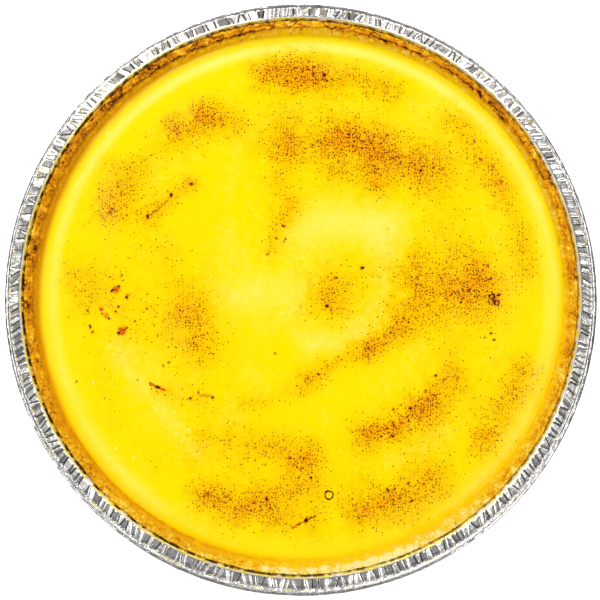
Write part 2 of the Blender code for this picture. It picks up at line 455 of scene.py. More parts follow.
@dataclass(frozen=True)
class BakedShortcrust:
    """Shortcrust pastry, baked from pale cream to brown.

    Butter and flour give a dry, crumbly face that scatters light, pale where
    the tin shaded it and browned on its ridges.
    """

    cream: str = "FFEA94"
    stages: tuple[tuple[float, float, str], ...] = (
        (0.03, 0.17, "F6C830"), (0.17, 0.32, "EAA60C"), (0.32, 0.50, "D48606"),
        (0.50, 0.70, "A65E04"), (0.70, 0.85, "643204"), (0.85, 1.0, "241002"))
    soaked_pale: str = "FCCC06"             # where custard soaked in
    soaked_dark: str = "EAA006"
    crumb: float = 0.9 * MM
    grain: float = 0.35 * MM
    blotch: float = 3.2 * MM
    crumb_depth: float = 0.16 * MM
    grain_depth: float = 0.06 * MM
    roughness: float = 0.75
    gloss: float = 0.08

    def make(self) -> bpy.types.Material:
        """Build the material.

        Returns:
            The pastry's material, which reads how browned and how soaked each point is.
        """
        material, tree, shader, where, (baked, soaked) = start_material(
            "baked_shortcrust", Field.BROWNING, Field.AMBER)
        crumb, blotch = (add_node(tree, "TexNoise", {"Vector": where, "Scale": 1.0 / size,
                                                     "Detail": detail})
                         for size, detail in ((self.crumb, 3.0), (self.blotch, 2.0)))
        grain = add_node(tree, "TexVoronoi", {"Vector": where, "Scale": 1.0 / self.grain})
        uneven = add_node(tree, "Math", (crumb, blotch), operation="ADD")
        spread = add_node(tree, "MapRange", (uneven, 0.7, 1.3, -0.20, 0.22))
        strength = add_node(tree, "MapRange", (baked, 0.0, 0.3, 0.45, 1.0))
        level = add_node(tree, "Math", (spread, strength, baked), operation="MULTIPLY_ADD")
        tone = self.cream
        for start, end, colour in self.stages:
            tone = tint(tree, tone, colour, level, start, end)
        soak = tint(tree, self.soaked_pale, self.soaked_dark, baked, 0.1, 0.7)
        share = add_node(tree, "MapRange", (blotch, 0.3, 0.7, 0.6, 1.1))
        share = add_node(tree, "Math", (soaked, share), operation="MULTIPLY", use_clamp=True)
        dress_shader(tree, shader, ((crumb, self.crumb_depth), (grain, self.grain_depth)), {
            "Base Color": tint(tree, tone, soak, share),
            "Roughness": self.roughness, "Specular IOR Level": self.gloss})
        return material


@dataclass(frozen=True)
class SpeckLayer:
    """One size of brown specks, scattered where the filling is browned."""

    spacing: float
    radius: float
    sparse_from: float      # how browned the filling is where the first ones show
    full_at: float          # and where the most of them show
    crowd: float            # the share of places that then hold one
    heart: str
    rim: str


@dataclass(frozen=True)
class SetLemonCustard:
    """Lemon custard, set in the oven: smooth, dense and softly glossy.

    Egg yolk and lemon make a strong clear yellow. Where the oven caught it,
    it turned golden, then brown in tiny specks, and sugar scorched in spots.
    """

    yellow: str = "FFE500"
    # Cream is laid on pale custard and on painted highlights.
    cream: str = "FEF06A"
    golden: str = "FFD002"
    orange: str = "F8A406"
    ember: str = "CC4A0A"
    scorched: str = "641C06"
    black: str = "2C0A04"
    # The edge against the case: browned custard and a painted shadow of the rim.
    edge_golden: str = "F6C004"
    amber: str = "BE8204"
    speck_layers: tuple[SpeckLayer, ...] = (
        SpeckLayer(2.0 * MM, 0.28 * MM, 0.01, 0.55, 0.90, "5A2A02", "CC9204"),
        SpeckLayer(1.35 * MM, 0.32 * MM, 0.08, 0.65, 0.86, "5A1A02", "CC7C04"),
        SpeckLayer(0.95 * MM, 0.265 * MM, 0.16, 0.80, 0.86, "5E1602", "CC6404"),
        SpeckLayer(1.2 * MM, 0.38 * MM, 0.36, 0.95, 0.82, "460A02", "BC4C06"),
        SpeckLayer(2.6 * MM, 0.50 * MM, 0.44, 1.15, 0.90, "300402", "A83806"))
    mottle: float = 2.4 * MM
    pore: float = 1.1 * MM
    pore_depth: float = 0.008 * MM
    frizz: float = 0.55 * MM                # specks aren't round
    roughness: float = 0.13
    refraction: float = 1.42
    gloss: float = 0.22

    def make(self) -> bpy.types.Material:
        """Build the material.

        Returns:
            The custard's material, which reads how browned, scorched, pale and amber each point is.
        """
        material, tree, shader, where, (browning, scorch, ember, pale, amber) = start_material(
            "set_lemon_custard", Field.BROWNING, Field.SCORCH, Field.EMBER, Field.PALE,
            Field.AMBER)
        mottle = add_node(tree, "TexNoise", {
            "Vector": where, "Scale": 1.0 / self.mottle, "Detail": 4.0, "Roughness": 0.65})
        pores = add_node(tree, "TexNoise",
                         {"Vector": where, "Scale": 1.0 / self.pore, "Detail": 2.0})
        uneven = add_node(tree, "MapRange", (mottle, 0.3, 0.7, -0.10, 0.16))
        pale = add_node(tree, "Math", (uneven, pale), operation="ADD")
        share = add_node(tree, "MapRange", (mottle, 0.3, 0.7, 1.25, 0.7))
        browned = add_node(tree, "Math", (share, browning), operation="MULTIPLY")
        tone = self.yellow
        for colour, share, start, end in (
                (self.cream, pale, 0.0, 1.0), (self.golden, browned, 0.03, 0.42),
                (self.orange, browned, 0.20, 1.10), (self.edge_golden, amber, 0.0, 0.5),
                (self.amber, amber, 0.35, 1.0)):
            tone = tint(tree, tone, colour, share, start, end)
        frizz = add_node(tree, "TexNoise",
                         {"Vector": where, "Scale": 1.0 / self.frizz, "Detail": 1.0}, "Color")
        shaken = add_node(tree, "VectorMath", {0: frizz, "Scale": 0.8 * self.frizz},
                          operation="SCALE")
        shaken = add_node(tree, "VectorMath", (where, shaken), operation="ADD")
        for layer in self.speck_layers:
            tone = self.specks(tree, shaken, tone, layer, browning)
        for colour, share, start, end in (
                (self.ember, ember, 0.0, 1.0), (self.scorched, scorch, 0.15, 0.6),
                (self.black, scorch, 0.7, 1.0)):
            tone = tint(tree, tone, colour, share, start, end)
        dull = add_node(tree, "MapRange",
                        (browning, 0.0, 1.0, self.roughness, self.roughness + 0.06))
        dress_shader(tree, shader, ((pores, self.pore_depth),), {
            "Base Color": tone, "Roughness": dull, "IOR": self.refraction,
            "Specular IOR Level": self.gloss})
        return material

    def specks(self, tree: Tree, where: Socket, under: Socket, layer: SpeckLayer,
               browning: Socket) -> Socket:
        """Scatter specks that grow and crowd where the filling is browned.

        Args:
            tree: The material's node tree.
            where: Object coordinates, a little shaken.
            under: The colour below.
            layer: The specks' size and colour.
            browning: How browned the filling is.

        Returns:
            The socket with the specks laid over the colour.
        """
        away = add_node(tree, "TexVoronoi", {"Vector": where, "Scale": 1.0 / layer.spacing},
                        voronoi_dimensions="2D")
        luck = add_node(tree, "SeparateColor", (away.node.outputs["Color"],)).node.outputs
        wanted = add_node(tree, "MapRange",
                          (browning, layer.sparse_from, layer.full_at, 0.0, layer.crowd))
        held = add_node(tree, "Math", (wanted, luck["Red"]), operation="SUBTRACT")
        grown = add_node(tree, "MapRange", (held, 0.0, 0.25))
        largest = layer.radius / layer.spacing
        size = add_node(tree, "MapRange", (luck["Green"], 0.0, 1.0, 0.5 * largest, largest))
        reach = add_node(tree, "Math", (grown, size), operation="MULTIPLY")
        tone = under
        for colour, start, end, most in ((layer.rim, 1.6, 0.9, 0.45),
                                         (layer.heart, 1.0, 0.65, 1.0)):
            bounds = (add_node(tree, "Math", (reach, share), operation="MULTIPLY")
                      for share in (start, end))
            mask = add_node(tree, "MapRange", (away, *bounds, 0.0, most))
            tone = tint(tree, tone, colour, mask)
        return tone


@dataclass(frozen=True)
class MattePaint:
    """Matt white paint on a board: plain, with no gloss of its own."""

    colour: str = "F7F7F6"
    glow: float = 0.70
    roughness: float = 0.9

    def make(self) -> bpy.types.Material:
        """Build the material.

        Returns:
            The floor's material.
        """
        material = bpy.data.materials.new("matt_white_board")
        material.use_nodes = True
        tree = material.node_tree
        feed(tree, tree.nodes["Principled BSDF"], {
            "Base Color": linear(self.colour), "Roughness": self.roughness,
            "Emission Color": linear("FFFFFF"), "Emission Strength": self.glow})
        return material


# ---- The foil tin ----

@dataclass
class Pleats:
    """Uneven pleats round the flange: flats that lean this way and that, with sharp folds.

    The net's steps follow the folds, so that each fold stays crisp: a fold's
    own line, two steps down its flank, one on the flat and two up to the next.
    """

    count: int = 288
    parts: int = 6                  # steps of the net in a pleat
    wander: float = 0.40            # share of a pleat that a fold's ends may stray
    fold_width: float = 0.20        # half a fold's width, as a share of a pleat
    fold_depth: float = 0.42 * MM
    lean: float = 0.17 * MM
    ridge_share: float = 0.25       # folds that stand up in place of going down
    darkest_reflection: float = 0.45           # how dark a flat's painted reflection may be
    shaded_side: float = 0.34       # painted shade: how much darker the flats are at 110 degrees
    lit_ends: float = 0.12          # and painted light: how much lighter they are along X
    # For each of a pleat's steps: how deep it lies, how dark its fold's painted shade and how dark a
    # pocket's painted shade is.
    flank: Sequence[float] = (1.0, 0.45, 0.0)
    fold_tones: Sequence[float] = (1.0, 0.55, 0.0, 0.0, 0.0, 0.55)
    pocket_tones: Sequence[float] = (0.5, 0.9, 1.0, 0.7, 0.2, 0.0)
    seed: int = 7
    at_lip: list[float] = field(default_factory=list)
    at_roll: list[float] = field(default_factory=list)
    depths: list[float] = field(default_factory=list)
    levels: list[Pair] = field(default_factory=list)
    pockets: list[Pair] = field(default_factory=list)
    reflection_tones: list[float] = field(default_factory=list)

    def __post_init__(self) -> None:
        """Draw where each fold runs and how deep it is."""
        draw = random.Random(self.seed)
        for index in range(self.count):
            self.at_lip.append(index + draw.uniform(-self.wander, self.wander))
            self.at_roll.append(index + draw.uniform(-self.wander, self.wander))
            depth = draw.uniform(0.35, 1.0)
            self.depths.append(-0.6 * depth if draw.random() < self.ridge_share else depth)
            side = self.lean if index % 2 else -self.lean
            self.levels.append((side * draw.uniform(0.1, 1.0), side * draw.uniform(0.1, 1.0)))
            # Each flat gets a random painted reflection, from bright to dark.
            self.reflection_tones.append(draw.uniform(0.0, self.darkest_reflection))
            self.pockets.append((max(0.0, draw.uniform(-1.2, 1.0)),
                                 max(0.0, draw.uniform(-1.0, 1.0))))

    @property
    def steps(self) -> int:
        """How many steps of the net go round."""
        return self.parts * self.count

    def shade(self, turn: Array, out: Array) -> Array:
        """The painted shade and reflection at each point: shade deep in a fold or in a pocket beside
        one, a random dark reflection on each flat, darker at 110 degrees and lighter along X.

        Args:
            turn: The points' even angles, in radians.
            out: 0 at the lip and 1 at the rolled edge.

        Returns:
            One value a point, 1 in the deepest fold.
        """
        index, part = np.divmod(np.round(turn / TAU * self.steps).astype(int), self.parts)
        nearest = (index + (part > 3)) % self.count
        deep = 0.55 + 0.5 * np.abs(np.array(self.depths))[nearest]
        # Painted shade in pockets beside the lip and beside the rolled edge.
        at_lip, at_roll = np.array(self.pockets)[index % self.count].T
        pocket = np.maximum(at_lip * smooth_step(1.0 - out / 0.45),
                            0.7 * at_roll * smooth_step((out - 0.5) / 0.4))
        tone = np.array(self.reflection_tones)[index % self.count]
        # Painted shade towards 110 degrees and painted light along X.
        tone = tone + self.shaded_side * facing(turn, 110.0) ** 2 - self.lit_ends * np.cos(turn) ** 2
        return np.maximum.reduce([np.array(self.fold_tones)[part] * deep,
                                  0.75 * np.array(self.pocket_tones)[part] * pocket, tone])

    def fold(self, index: int, out: float) -> tuple[float, float, float]:
        """Where a fold lies, how deep it is and how high the foil stands there.

        Args:
            index: Which fold, counted round.
            out: 0 at the lip and 1 at the rolled edge.

        Returns:
            Its place in pleats, its depth and its level, both in metres.
        """
        turns, at = divmod(index, self.count)
        place = self.at_lip[at] * (1.0 - out) + self.at_roll[at] * out + turns * self.count
        level = self.levels[at][0] * (1.0 - out) + self.levels[at][1] * out
        return place, self.depths[at] * self.fold_depth, level

    def follow(self, angle: float, out: float) -> Pair:
        """Shift a step of the net onto the pleats.

        Args:
            angle: The step's even angle, in radians.
            out: 0 at the lip and 1 at the rolled edge.

        Returns:
            Its angle on the pleats, and how far the foil stands up there.
        """
        index, part = divmod(round(angle / TAU * self.steps), self.parts)
        here, depth, level = self.fold(index, out)
        there, next_depth, next_level = self.fold(index + 1, out)
        if part < 3:
            place, sunk = here + self.fold_width * part / 2, depth * self.flank[part]
        elif part == 3:
            place, sunk = (here + there) / 2, 0.0
        else:
            place = there - self.fold_width * (self.parts - part) / 2
            sunk = next_depth * self.flank[self.parts - part]
        share = (place - here) / max(there - here, 1e-6)
        return place / self.count * TAU, level + (next_level - level) * share - sunk


@dataclass
class FoilTin:
    """The flan tin: a thin cup, a lip, a crimped flange and a rolled edge."""

    form: CupForm
    lip_width: float = 0.7 * MM
    lip_drop: float = 0.2 * MM
    lip_profile: Pairs = ((1.0, 1.0), (0.75, 0.25), (0.45, 0.0), (0.15, 0.35))
    lip_underside: float = 1.0 * MM
    lip_wobble: float = 0.12 * MM
    wobble_rate: float = 38.0
    flange_start: float = 1.0 * MM
    flange_height: float = 25.45 * MM
    flange_fall: float = 0.6 * MM
    flange_lift: float = -0.01 * MM
    flange_rings: int = 8
    flange_end: float = 2.2             # in roll radii from the edge
    roll_radius: float = 1.12 * MM
    roll_unevenness: float = 0.28
    roll_height: float = 24.3 * MM
    roll_meets_flange: float = math.radians(140.0)
    roll_rings: int = 15
    roll_dent: float = 0.10 * MM
    dent_rates: Pair = (62.0, 1.3)      # along the edge and round its tube
    roll_groove: float = 0.07 * MM
    grooves: float = 6.0                # round the whole tube
    groove_turn: float = 0.6
    wall_flute: float = 0.5             # of the folds' depth
    wall_rings: int = 6
    foot_rings: int = 4
    line_strength: float = 0.75         # how dark the painted shade lines along the rolled edge are
    outside_shade: float = 0.45          # painted shade on the foil under the flange
    line_break: float = 2.4 * MM        # about how long a line's pieces are
    squiggle: float = 1.3 * MM
    dashes: Pair = (2.3 * MM, 0.8 * MM)
    blotch: float = 2.2 * MM            # sizes of the stains
    dot: float = 0.9 * MM
    seam_inset: float = 2.6 * MM        # where stains crept along the rolled edge
    seam_width: float = 0.5 * MM
    stained_from: float = 20.0 * MM     # no stains lower down
    pleats: Pleats = field(default_factory=Pleats)
    finish: PressedFoil = field(default_factory=PressedFoil)

    def roll_at(self, angle: float) -> float:
        """Radius of the rolled edge's tube, fatter on the -Y side."""
        return self.roll_radius * (1.0 - self.roll_unevenness * math.sin(angle))

    def grooved(self, around: float | Array) -> float | Array:
        """How deep in a groove the rolled edge lies, from 0 to 1, at an angle round its tube."""
        return 0.5 + 0.5 * np.cos(around * self.grooves + self.groove_turn)

    def flange(self, angle: float, out: float, face: float) -> Vector:
        """A point of the crimped flange.

        Args:
            angle: Where round the net.
            out: 0 at the lip and 1 at the rolled edge.
            face: How far above the foil's middle line it lies.

        Returns:
            The point.
        """
        angle, stands = self.pleats.follow(angle, out)
        start = self.form.point(angle, self.form.mouth_radius + self.flange_start,
                                self.flange_height)
        end_radius = self.form.edge_radius - self.flange_end * self.roll_at(angle)
        end = self.form.point(angle, end_radius, self.flange_height - self.flange_fall, 0.0)
        point = start.lerp(end, out)
        point.z += stands + self.flange_lift + face
        return point

    def roll(self, angle: float, around: float) -> Vector:
        """A point of the rolled edge.

        Args:
            angle: Where round the net.
            around: The angle round the edge's tube from the outermost line.

        Returns:
            The point.
        """
        angle = self.pleats.follow(angle, 1.0)[0]
        roll = self.roll_at(angle)
        along, across = self.dent_rates
        way = Vector((math.cos(angle) * along, math.sin(angle) * along, around * across))
        dent = self.roll_dent * (0.5 + 0.8 * noise.noise(way))
        tube = roll - max(dent, 0.0) - self.roll_groove * self.grooved(around)
        radius = self.form.edge_radius - roll + tube * math.cos(around)
        return self.form.point(angle, radius, self.roll_height + tube * math.sin(around), 0.0)

    def wall(self, angle: float, radius: float, height: float) -> Vector:
        """A point of the cup's wall, whose soft flutes fade towards the foot.

        Args:
            angle: Where round the net.
            radius: Its radius without them.
            height: Its height.

        Returns:
            The point.
        """
        share = max(0.0, height / self.form.lip_height - 0.25) / 0.75
        angle, stands = self.pleats.follow(angle, 0.0)
        return self.form.point(angle, radius + self.wall_flute * share ** 1.5 * stands, height)

    def lip(self, angle: float, out: float, down: float) -> Vector:
        """A point of the lip, a little wavy.

        Args:
            angle: Where round the net.
            out: How far out on the lip, from 0 to 1.
            down: How far down, from 0 to 1.

        Returns:
            The point.
        """
        angle = self.pleats.follow(angle, 0.0)[0]
        wobble = self.lip_wobble * noise.noise(round_way(angle) * self.wobble_rate)
        return self.form.point(
            angle, self.form.mouth_radius + self.lip_width * out + wobble,
            self.form.lip_height - self.lip_drop * down - abs(wobble) * 0.5)

    def build(self) -> Piece:
        """Turn the tin's closed profile and put it in its finish.

        Returns:
            The tin, with how stained it is and its painted shade stored on its points.
        """
        form = self.form
        outside = form.side(-form.foil, 0.0, form.foot_rounding + form.foil,
                            form.lip_height - self.lip_underside,
                            self.foot_rings, self.wall_rings)
        inside = form.side(0.0, form.foil, form.foot_rounding,
                           form.lip_height - 2 * self.lip_drop,
                           self.foot_rings, self.wall_rings)
        rings = [partial(self.wall, radius=radius, height=height) for radius, height in outside]
        rings += [partial(self.flange, out=out, face=-form.foil / 2) for out in (0.0, 0.5, 1.0)]
        roll_first = len(rings)
        rings += [partial(self.roll, around=self.around_roll(ring))
                  for ring in range(self.roll_rings)]
        rings += [partial(self.flange, out=ring / (self.flange_rings - 1), face=form.foil / 2)
                  for ring in reversed(range(self.flange_rings))]
        rings += [partial(self.lip, out=out, down=down) for out, down in self.lip_profile]
        rings += [partial(self.wall, radius=radius, height=height)
                  for radius, height in inside[::-1]]
        tin = finish_piece("flan_tin", lathe(rings, self.pleats.steps), self.finish.make(),
                           sharp_from=math.radians(28.0))
        turn, ring = (read_field(tin, kept) for kept in (Field.TURN, Field.RING))
        ring = np.round(ring) - roll_first
        places = places_of(tin)
        set_fields(tin, {Field.STAIN: self.stain(places) * (ring >= 0),
                         Field.PAINTED_SHADE: self.painted_shade(places, turn, ring)})
        return tin

    def around_roll(self, ring: float | Array) -> float | Array:
        """The angle round the tube at which a ring of the rolled edge lies."""
        return self.roll_meets_flange * (2 * ring / (self.roll_rings - 1) - 1)

    def painted_shade(self, places: Array, turn: Array, ring: Array) -> Array:
        """The painted shade of each point of the flange, the rolled edge, the gap and the outside.

        Args:
            places: The tin's points.
            turn: Their even angles.
            ring: Their rings, counted from the first one of the rolled edge.

        Returns:
            One value a point, 1 at the bottom of the deepest fold.
        """
        # The rolled edge: painted shade in broken lines along its grooves, less towards -Y, and painted
        # shade on its outermost part towards 350 degrees.
        broken = np.clip(0.55 + 0.7 * rough(places, self.line_break, 14.0), 0.0, 1.0)
        around = self.around_roll(ring)
        roll = 2.0 * self.line_strength * broken * self.grooved(around) ** 3
        roll *= 1.0 - 0.6 * np.maximum(0.0, -np.sin(turn)) ** 3
        outline = smooth_step((math.radians(70.0) - np.abs(around)) / math.radians(30.0))
        roll = np.maximum(roll, 0.80 * outline * facing(turn, 350.0) ** 4)
        # The flange: painted shade and reflection of its pleats, painted shade lines beside the rolled
        # edge, darker towards 292 degrees, and painted shade at the lip, darker towards 130 degrees.
        last = self.flange_rings - 1
        in_from_roll = ring - self.roll_rings
        flange = self.pleats.shade(turn, np.clip(1.0 - in_from_roll / last, 0.0, 1.0))
        squiggle = 1.0 - np.abs(rough(places, self.squiggle, 16.0)) / 0.30
        squiggle = np.clip(squiggle, 0.0, 1.0) * self.line_strength
        beaded = np.where(in_from_roll % 2 == 0, np.maximum(squiggle, 0.55 * broken), squiggle)
        beaded = np.maximum(beaded, 0.29 + 0.22 * towards(turn, 292.0))
        flange = np.maximum(flange, beaded * (in_from_roll < 3))
        at_lip = broken * (0.05 + 0.8 * facing(turn, 130.0) ** 2)
        flange = np.maximum(flange, (in_from_roll == last) * at_lip)
        # The gap behind the crust: painted shade, dashed along its upper edge and stronger towards 195
        # degrees.
        lower = 0.45 * np.maximum(0.0, towards(turn, 262.0)) ** 3
        long, short = (rough(places, size, seed) for size, seed in zip(self.dashes, (17.0, 18.0)))
        dashed = smooth_step(0.55 + lower + 1.3 * long + 0.5 * short)
        dashed *= 0.70 + 0.28 * towards(turn, 195.0)
        below_lip = in_from_roll - (last + len(self.lip_profile) + 1)
        gap = (below_lip > 0) & (below_lip <= 2)
        # The outside under the flange: an even painted shade, with painted shade in its flutes, more
        # towards the lip.
        fluted = smooth_step(places[:, 2] / self.form.lip_height) \
            * self.pleats.shade(turn, np.zeros(len(turn)))
        shown = roll * ((ring >= 0) & (in_from_roll < 0)) \
            + flange * ((in_from_roll >= 0) & (in_from_roll <= last)) \
            + gap + (below_lip == 0) * dashed \
            + (ring < 0) * (self.outside_shade + 0.6 * fluted)
        return np.clip(shown, 0.0, 1.0)

    def stain(self, places: Array) -> Array:
        """Where butter and custard crept over the lip and browned.

        Args:
            places: The tin's points.

        Returns:
            One value a point, 1 where the foil is fully coloured.
        """
        across, along, height = places.T
        turn = np.arctan2(along, across)
        from_cup = self.form.polar(places)[1] - self.form.mouth_radius
        from_edge = self.form.edge_radius - np.hypot(across, along)
        side = facing(turn, 160.0)
        blotch = rough(places, self.blotch, 12.0)
        dots = rough(places, self.dot, 13.0)
        reach = (0.62 + 0.18 * towards(turn, 235.0)) * MM
        lip = smooth_step((reach - from_cup) / (0.35 * MM)) \
            * np.clip(0.65 + 0.20 * side + 0.5 * blotch, 0.0, 1.0)
        seam = bell((from_edge - self.seam_inset) / self.seam_width)
        seam *= np.clip(0.9 * dots + 0.5 * blotch - 0.15, 0.0, 1.0) * (0.5 + 0.5 * side) * 2.6
        return np.clip((lip + seam) * (height > self.stained_from), 0.0, 1.0)


# ---- The pastry case ----

@dataclass
class PastryCase:
    """The shortcrust case: a floor, a wall against the foil and a craggy rim."""

    form: CupForm
    steps: int = 1800
    rim_height: float = 25.2 * MM
    rim_crag: float = 0.55 * MM
    rim_ragged: float = 0.7 * MM
    rim_bulge: float = 0.8 * MM
    rim_rounding: float = 0.55 * MM
    rim_break: float = 1.1 * MM
    rim_slope: float = 0.7 * MM
    crag_rate: float = 26.0
    chip_rate: float = 85.0
    crag_share: float = 0.55
    crag_gain: float = 1.6
    outer_layer: float = 11.0
    inner_layer: float = 23.0
    edge_layer: float = 3.0
    flake_length: float = 4.6 * MM      # flakes lie along the rim
    flake_width: float = 1.5 * MM
    crease_depth: float = 0.45 * MM
    crease_run: float = 5.0 * MM        # how far a crease runs before it closes
    crease_width: float = 0.12          # as a share of the noise that bends it
    cut_width: float = 0.10
    flake_lift: float = 0.30 * MM
    chip: float = 0.42                  # chips are this share of a flake
    crumb: float = 0.9 * MM             # fine lumps on the rim
    crumb_depth: float = 0.22 * MM
    crest_rings: int = 11
    slope_rings: int = 7
    hottest: float = 108.0              # degrees
    soak_share: float = 0.75            # of the inner slope
    soak_more: float = 1.1 * MM         # on the -Y side
    soak_fade: float = 1.5 * MM
    burnt_and_shaded_from: float = 107.72 * MM     # radius from which the rim is burnt against the foil and carries the gap's painted shade
    # Radius from which the outer rim is painted lighter towards 160 degrees, a painted highlight.
    brim_highlight_from: float = 105.8 * MM
    brink: float = 0.33 * MM            # half the width of the dark line at the inner edge, partly browned and partly a painted shadow of the rim
    brink_inset: float = 0.6 * MM
    brink_further: float = 1.3 * MM     # how much further in it lies at 60 degrees
    patch: float = 8.0 * MM             # sizes of its uneven colour
    fleck: float = 2.6 * MM
    ragged: float = 1.5 * MM
    ragged_depth: float = 0.25 * MM
    # Where the oven baked it otherwise: degrees, reach in degrees and how much darker.
    uneven: tuple[tuple[float, float, float], ...] = (
        (88.0, 22.0, -0.14), (142.0, 22.0, 0.08), (182.0, 20.0, 0.05), (315.0, 22.0, 0.07))
    finish: BakedShortcrust = field(default_factory=BakedShortcrust)

    def crag(self, angle: float, layer: float) -> float:
        """Fixed roughness round the rim.

        Args:
            angle: Where round the rim.
            layer: Which slice of the noise is read.

        Returns:
            A value between about -1 and 1.
        """
        coarse, fine = (noise.noise(round_way(angle) * rate + Vector((0.0, 0.0, up)))
                        for rate, up in ((self.crag_rate, layer), (self.chip_rate, layer + 1.0)))
        return self.crag_gain * (self.crag_share * coarse + (1.0 - self.crag_share) * fine)

    def inner_edge(self, angle: float) -> float:
        """Where the rim's top breaks off towards the filling.

        Args:
            angle: Where round the rim.

        Returns:
            The radius there.
        """
        even = self.form.wall_radius(self.rim_height, self.form.clearance + self.form.case_wall)
        bulge = self.rim_bulge * max(0.0, -math.sin(angle))
        return even - bulge + self.rim_ragged * self.crag(angle, self.edge_layer)

    def baked_side(self, angle: float | Array) -> float | Array:
        """How near a place is to the hottest side, from 0 to 1."""
        return facing(angle, self.hottest) ** 0.6

    def relief(self, angle: float, radius: float) -> Pair:
        """Flakes, the creases between them and lumps of crumb on the rim.

        Args:
            angle: Where round the rim.
            radius: How far out.

        Returns:
            The height that they add, in metres, and how deep down the place is, which becomes painted
            shade in creases and painted light on lumps.
        """
        way = round_way(angle) * self.form.mouth_radius
        up = Vector((0.0, 0.0, 1.0))
        slant = 2.2 * noise.noise(way / (3.0 * self.flake_length)) + radius / self.flake_width
        flake = noise.noise(way / self.flake_length + up * slant)
        chip = noise.noise((way / self.flake_length + up * slant) / self.chip + up * 40.0)
        lump = noise.noise(way / self.crumb + up * (radius / (0.7 * self.crumb) + 80.0))
        broken = min(max(0.7 + 1.8 * noise.noise(way / self.crease_run + up * 9.0), 0.0), 1.0)
        crease = broken * max(0.0, 1.0 - abs(flake) / self.crease_width) ** 1.2
        cut = broken * max(0.0, 1.0 - abs(chip) / self.cut_width) ** 1.3
        height = self.crumb_depth * lump - self.crease_depth * (crease + 0.3 * cut) \
            + self.flake_lift * max(0.0, flake)
        crust = 0.45 + 0.55 * self.baked_side(angle)
        return height * crust, min(crease + 0.4 * cut, 1.0) - 0.35 * lump

    def shoulder(self, angle: float, down: float) -> Pair:
        """Radius and height on the rim's rounded outer edge.

        Args:
            angle: Where round the rim.
            down: 1 at the edge's foot and 0 at the crest.

        Returns:
            The radius and the height, in metres.
        """
        crest = self.rim_height + self.rim_crag * self.crag(angle, self.outer_layer)
        turn = down * math.pi / 2
        height = crest - self.rim_rounding * (1.0 - math.cos(turn))
        wall = self.form.wall_radius(height, self.form.clearance)
        return wall - self.rim_rounding * (1.0 - math.sin(turn)), height

    def crest(self, angle: float, across: float) -> Pair:
        """Radius and height on the rim's top.

        Args:
            angle: Where round the rim.
            across: 0 near the foil and 1 at the inner edge.

        Returns:
            The radius and the height, in metres.
        """
        outer = self.form.wall_radius(self.rim_height, self.form.clearance) - self.rim_rounding
        high, low = (self.crag(angle, layer) for layer in (self.outer_layer, self.inner_layer))
        return (outer + (self.inner_edge(angle) - outer) * across,
                self.rim_height + self.rim_crag * (high + (low - high) * across))

    def slope(self, angle: float, down: float) -> Pair:
        """Radius and height on the rim's inner slope.

        Args:
            angle: Where round the rim.
            down: 0 at the broken edge and 1 at the filling.

        Returns:
            The radius and the height, in metres.
        """
        start = self.inner_edge(angle) - self.rim_slope
        height = self.rim_height + self.rim_crag * self.crag(angle, self.inner_layer) \
            - self.rim_break
        foot_height = self.form.edge_level + self.form.clearance
        return (start + (self.form.case_foot - start) * down,
                height + (foot_height - height) * down ** 0.8)

    def rim(self, angle: float, part: Callable[[float, float], Pair], share: float,
            relief: float = 1.0) -> Vector:
        """A point of the rim, with its flakes and crumb.

        Args:
            angle: Where round the rim.
            part: The method that gives the radius and height there.
            share: How far along that part it lies.
            relief: How much of the relief it takes.

        Returns:
            The point.
        """
        radius, height = part(angle, share)
        return self.form.point(angle, radius, height + relief * self.relief(angle, radius)[0])

    def build(self) -> Piece:
        """Turn the case's closed profile and put it in its finish.

        Returns:
            The case, with how browned it is stored on its points.
        """
        form = self.form
        low_rim = self.rim_height - self.rim_crag - 2 * self.rim_rounding
        outside = form.side(form.clearance, form.foil + form.clearance,
                            form.foot_rounding - form.clearance, low_rim, 2, 3)
        inside = form.side(form.clearance + form.case_wall,
                           form.foil + form.clearance + form.case_floor, form.case_rounding,
                           form.edge_level - self.rim_break, 2, 1)
        rings = form.rings(outside)
        rings += [partial(self.rim, part=self.shoulder, share=down, relief=1.0 - down)
                  for down in (1.0, 0.66, 0.33)]
        rings += [partial(self.rim, part=self.crest, share=across)
                  for across in np.linspace(0.0, 1.0, self.crest_rings)]
        rings += [partial(self.rim, part=self.slope, share=down, relief=1.0 - 0.7 * down)
                  for down in np.linspace(0.0, 1.0, self.slope_rings)]
        rings += form.rings(inside[::-1])
        case = finish_piece("shortcrust_case", lathe(rings, self.steps), self.finish.make())
        places = places_of(case)
        angle, radius = form.polar(places)
        inner = np.array([self.inner_edge(where) for where in angle])
        reach = (inner - form.case_foot) * self.soak_share \
            + self.soak_more * np.maximum(0.0, -np.sin(angle))
        soaked = smooth_step((reach - (radius - form.case_foot)) / self.soak_fade + 0.5)
        browned = self.browning(places, inner, soaked)
        set_fields(case, {Field.AMBER: soaked, Field.BROWNING: browned})
        return case

    def browning(self, places: Array, inner: Array, soaked: Array) -> Array:
        """How browned each point is, with painted shade and light mixed in: least towards -Y, darker in
        creases (painted shade) and against the foil (burnt and painted shade).

        Args:
            places: The case's points.
            inner: The radius of the rim's inner edge beside each.
            soaked: How much custard soaked in there.

        Returns:
            One value a point, from 0 for pale cream to 1 for dark brown.
        """
        # What is uneven: patches, pale flecks that partly stand in for highlights on the flakes,
        # painted shade in creases with painted light on lumps, and the two edges, partly painted shade.
        angle, radius = self.form.polar(places)
        side = self.baked_side(angle)
        patches = rough(places, self.patch, 2.0)
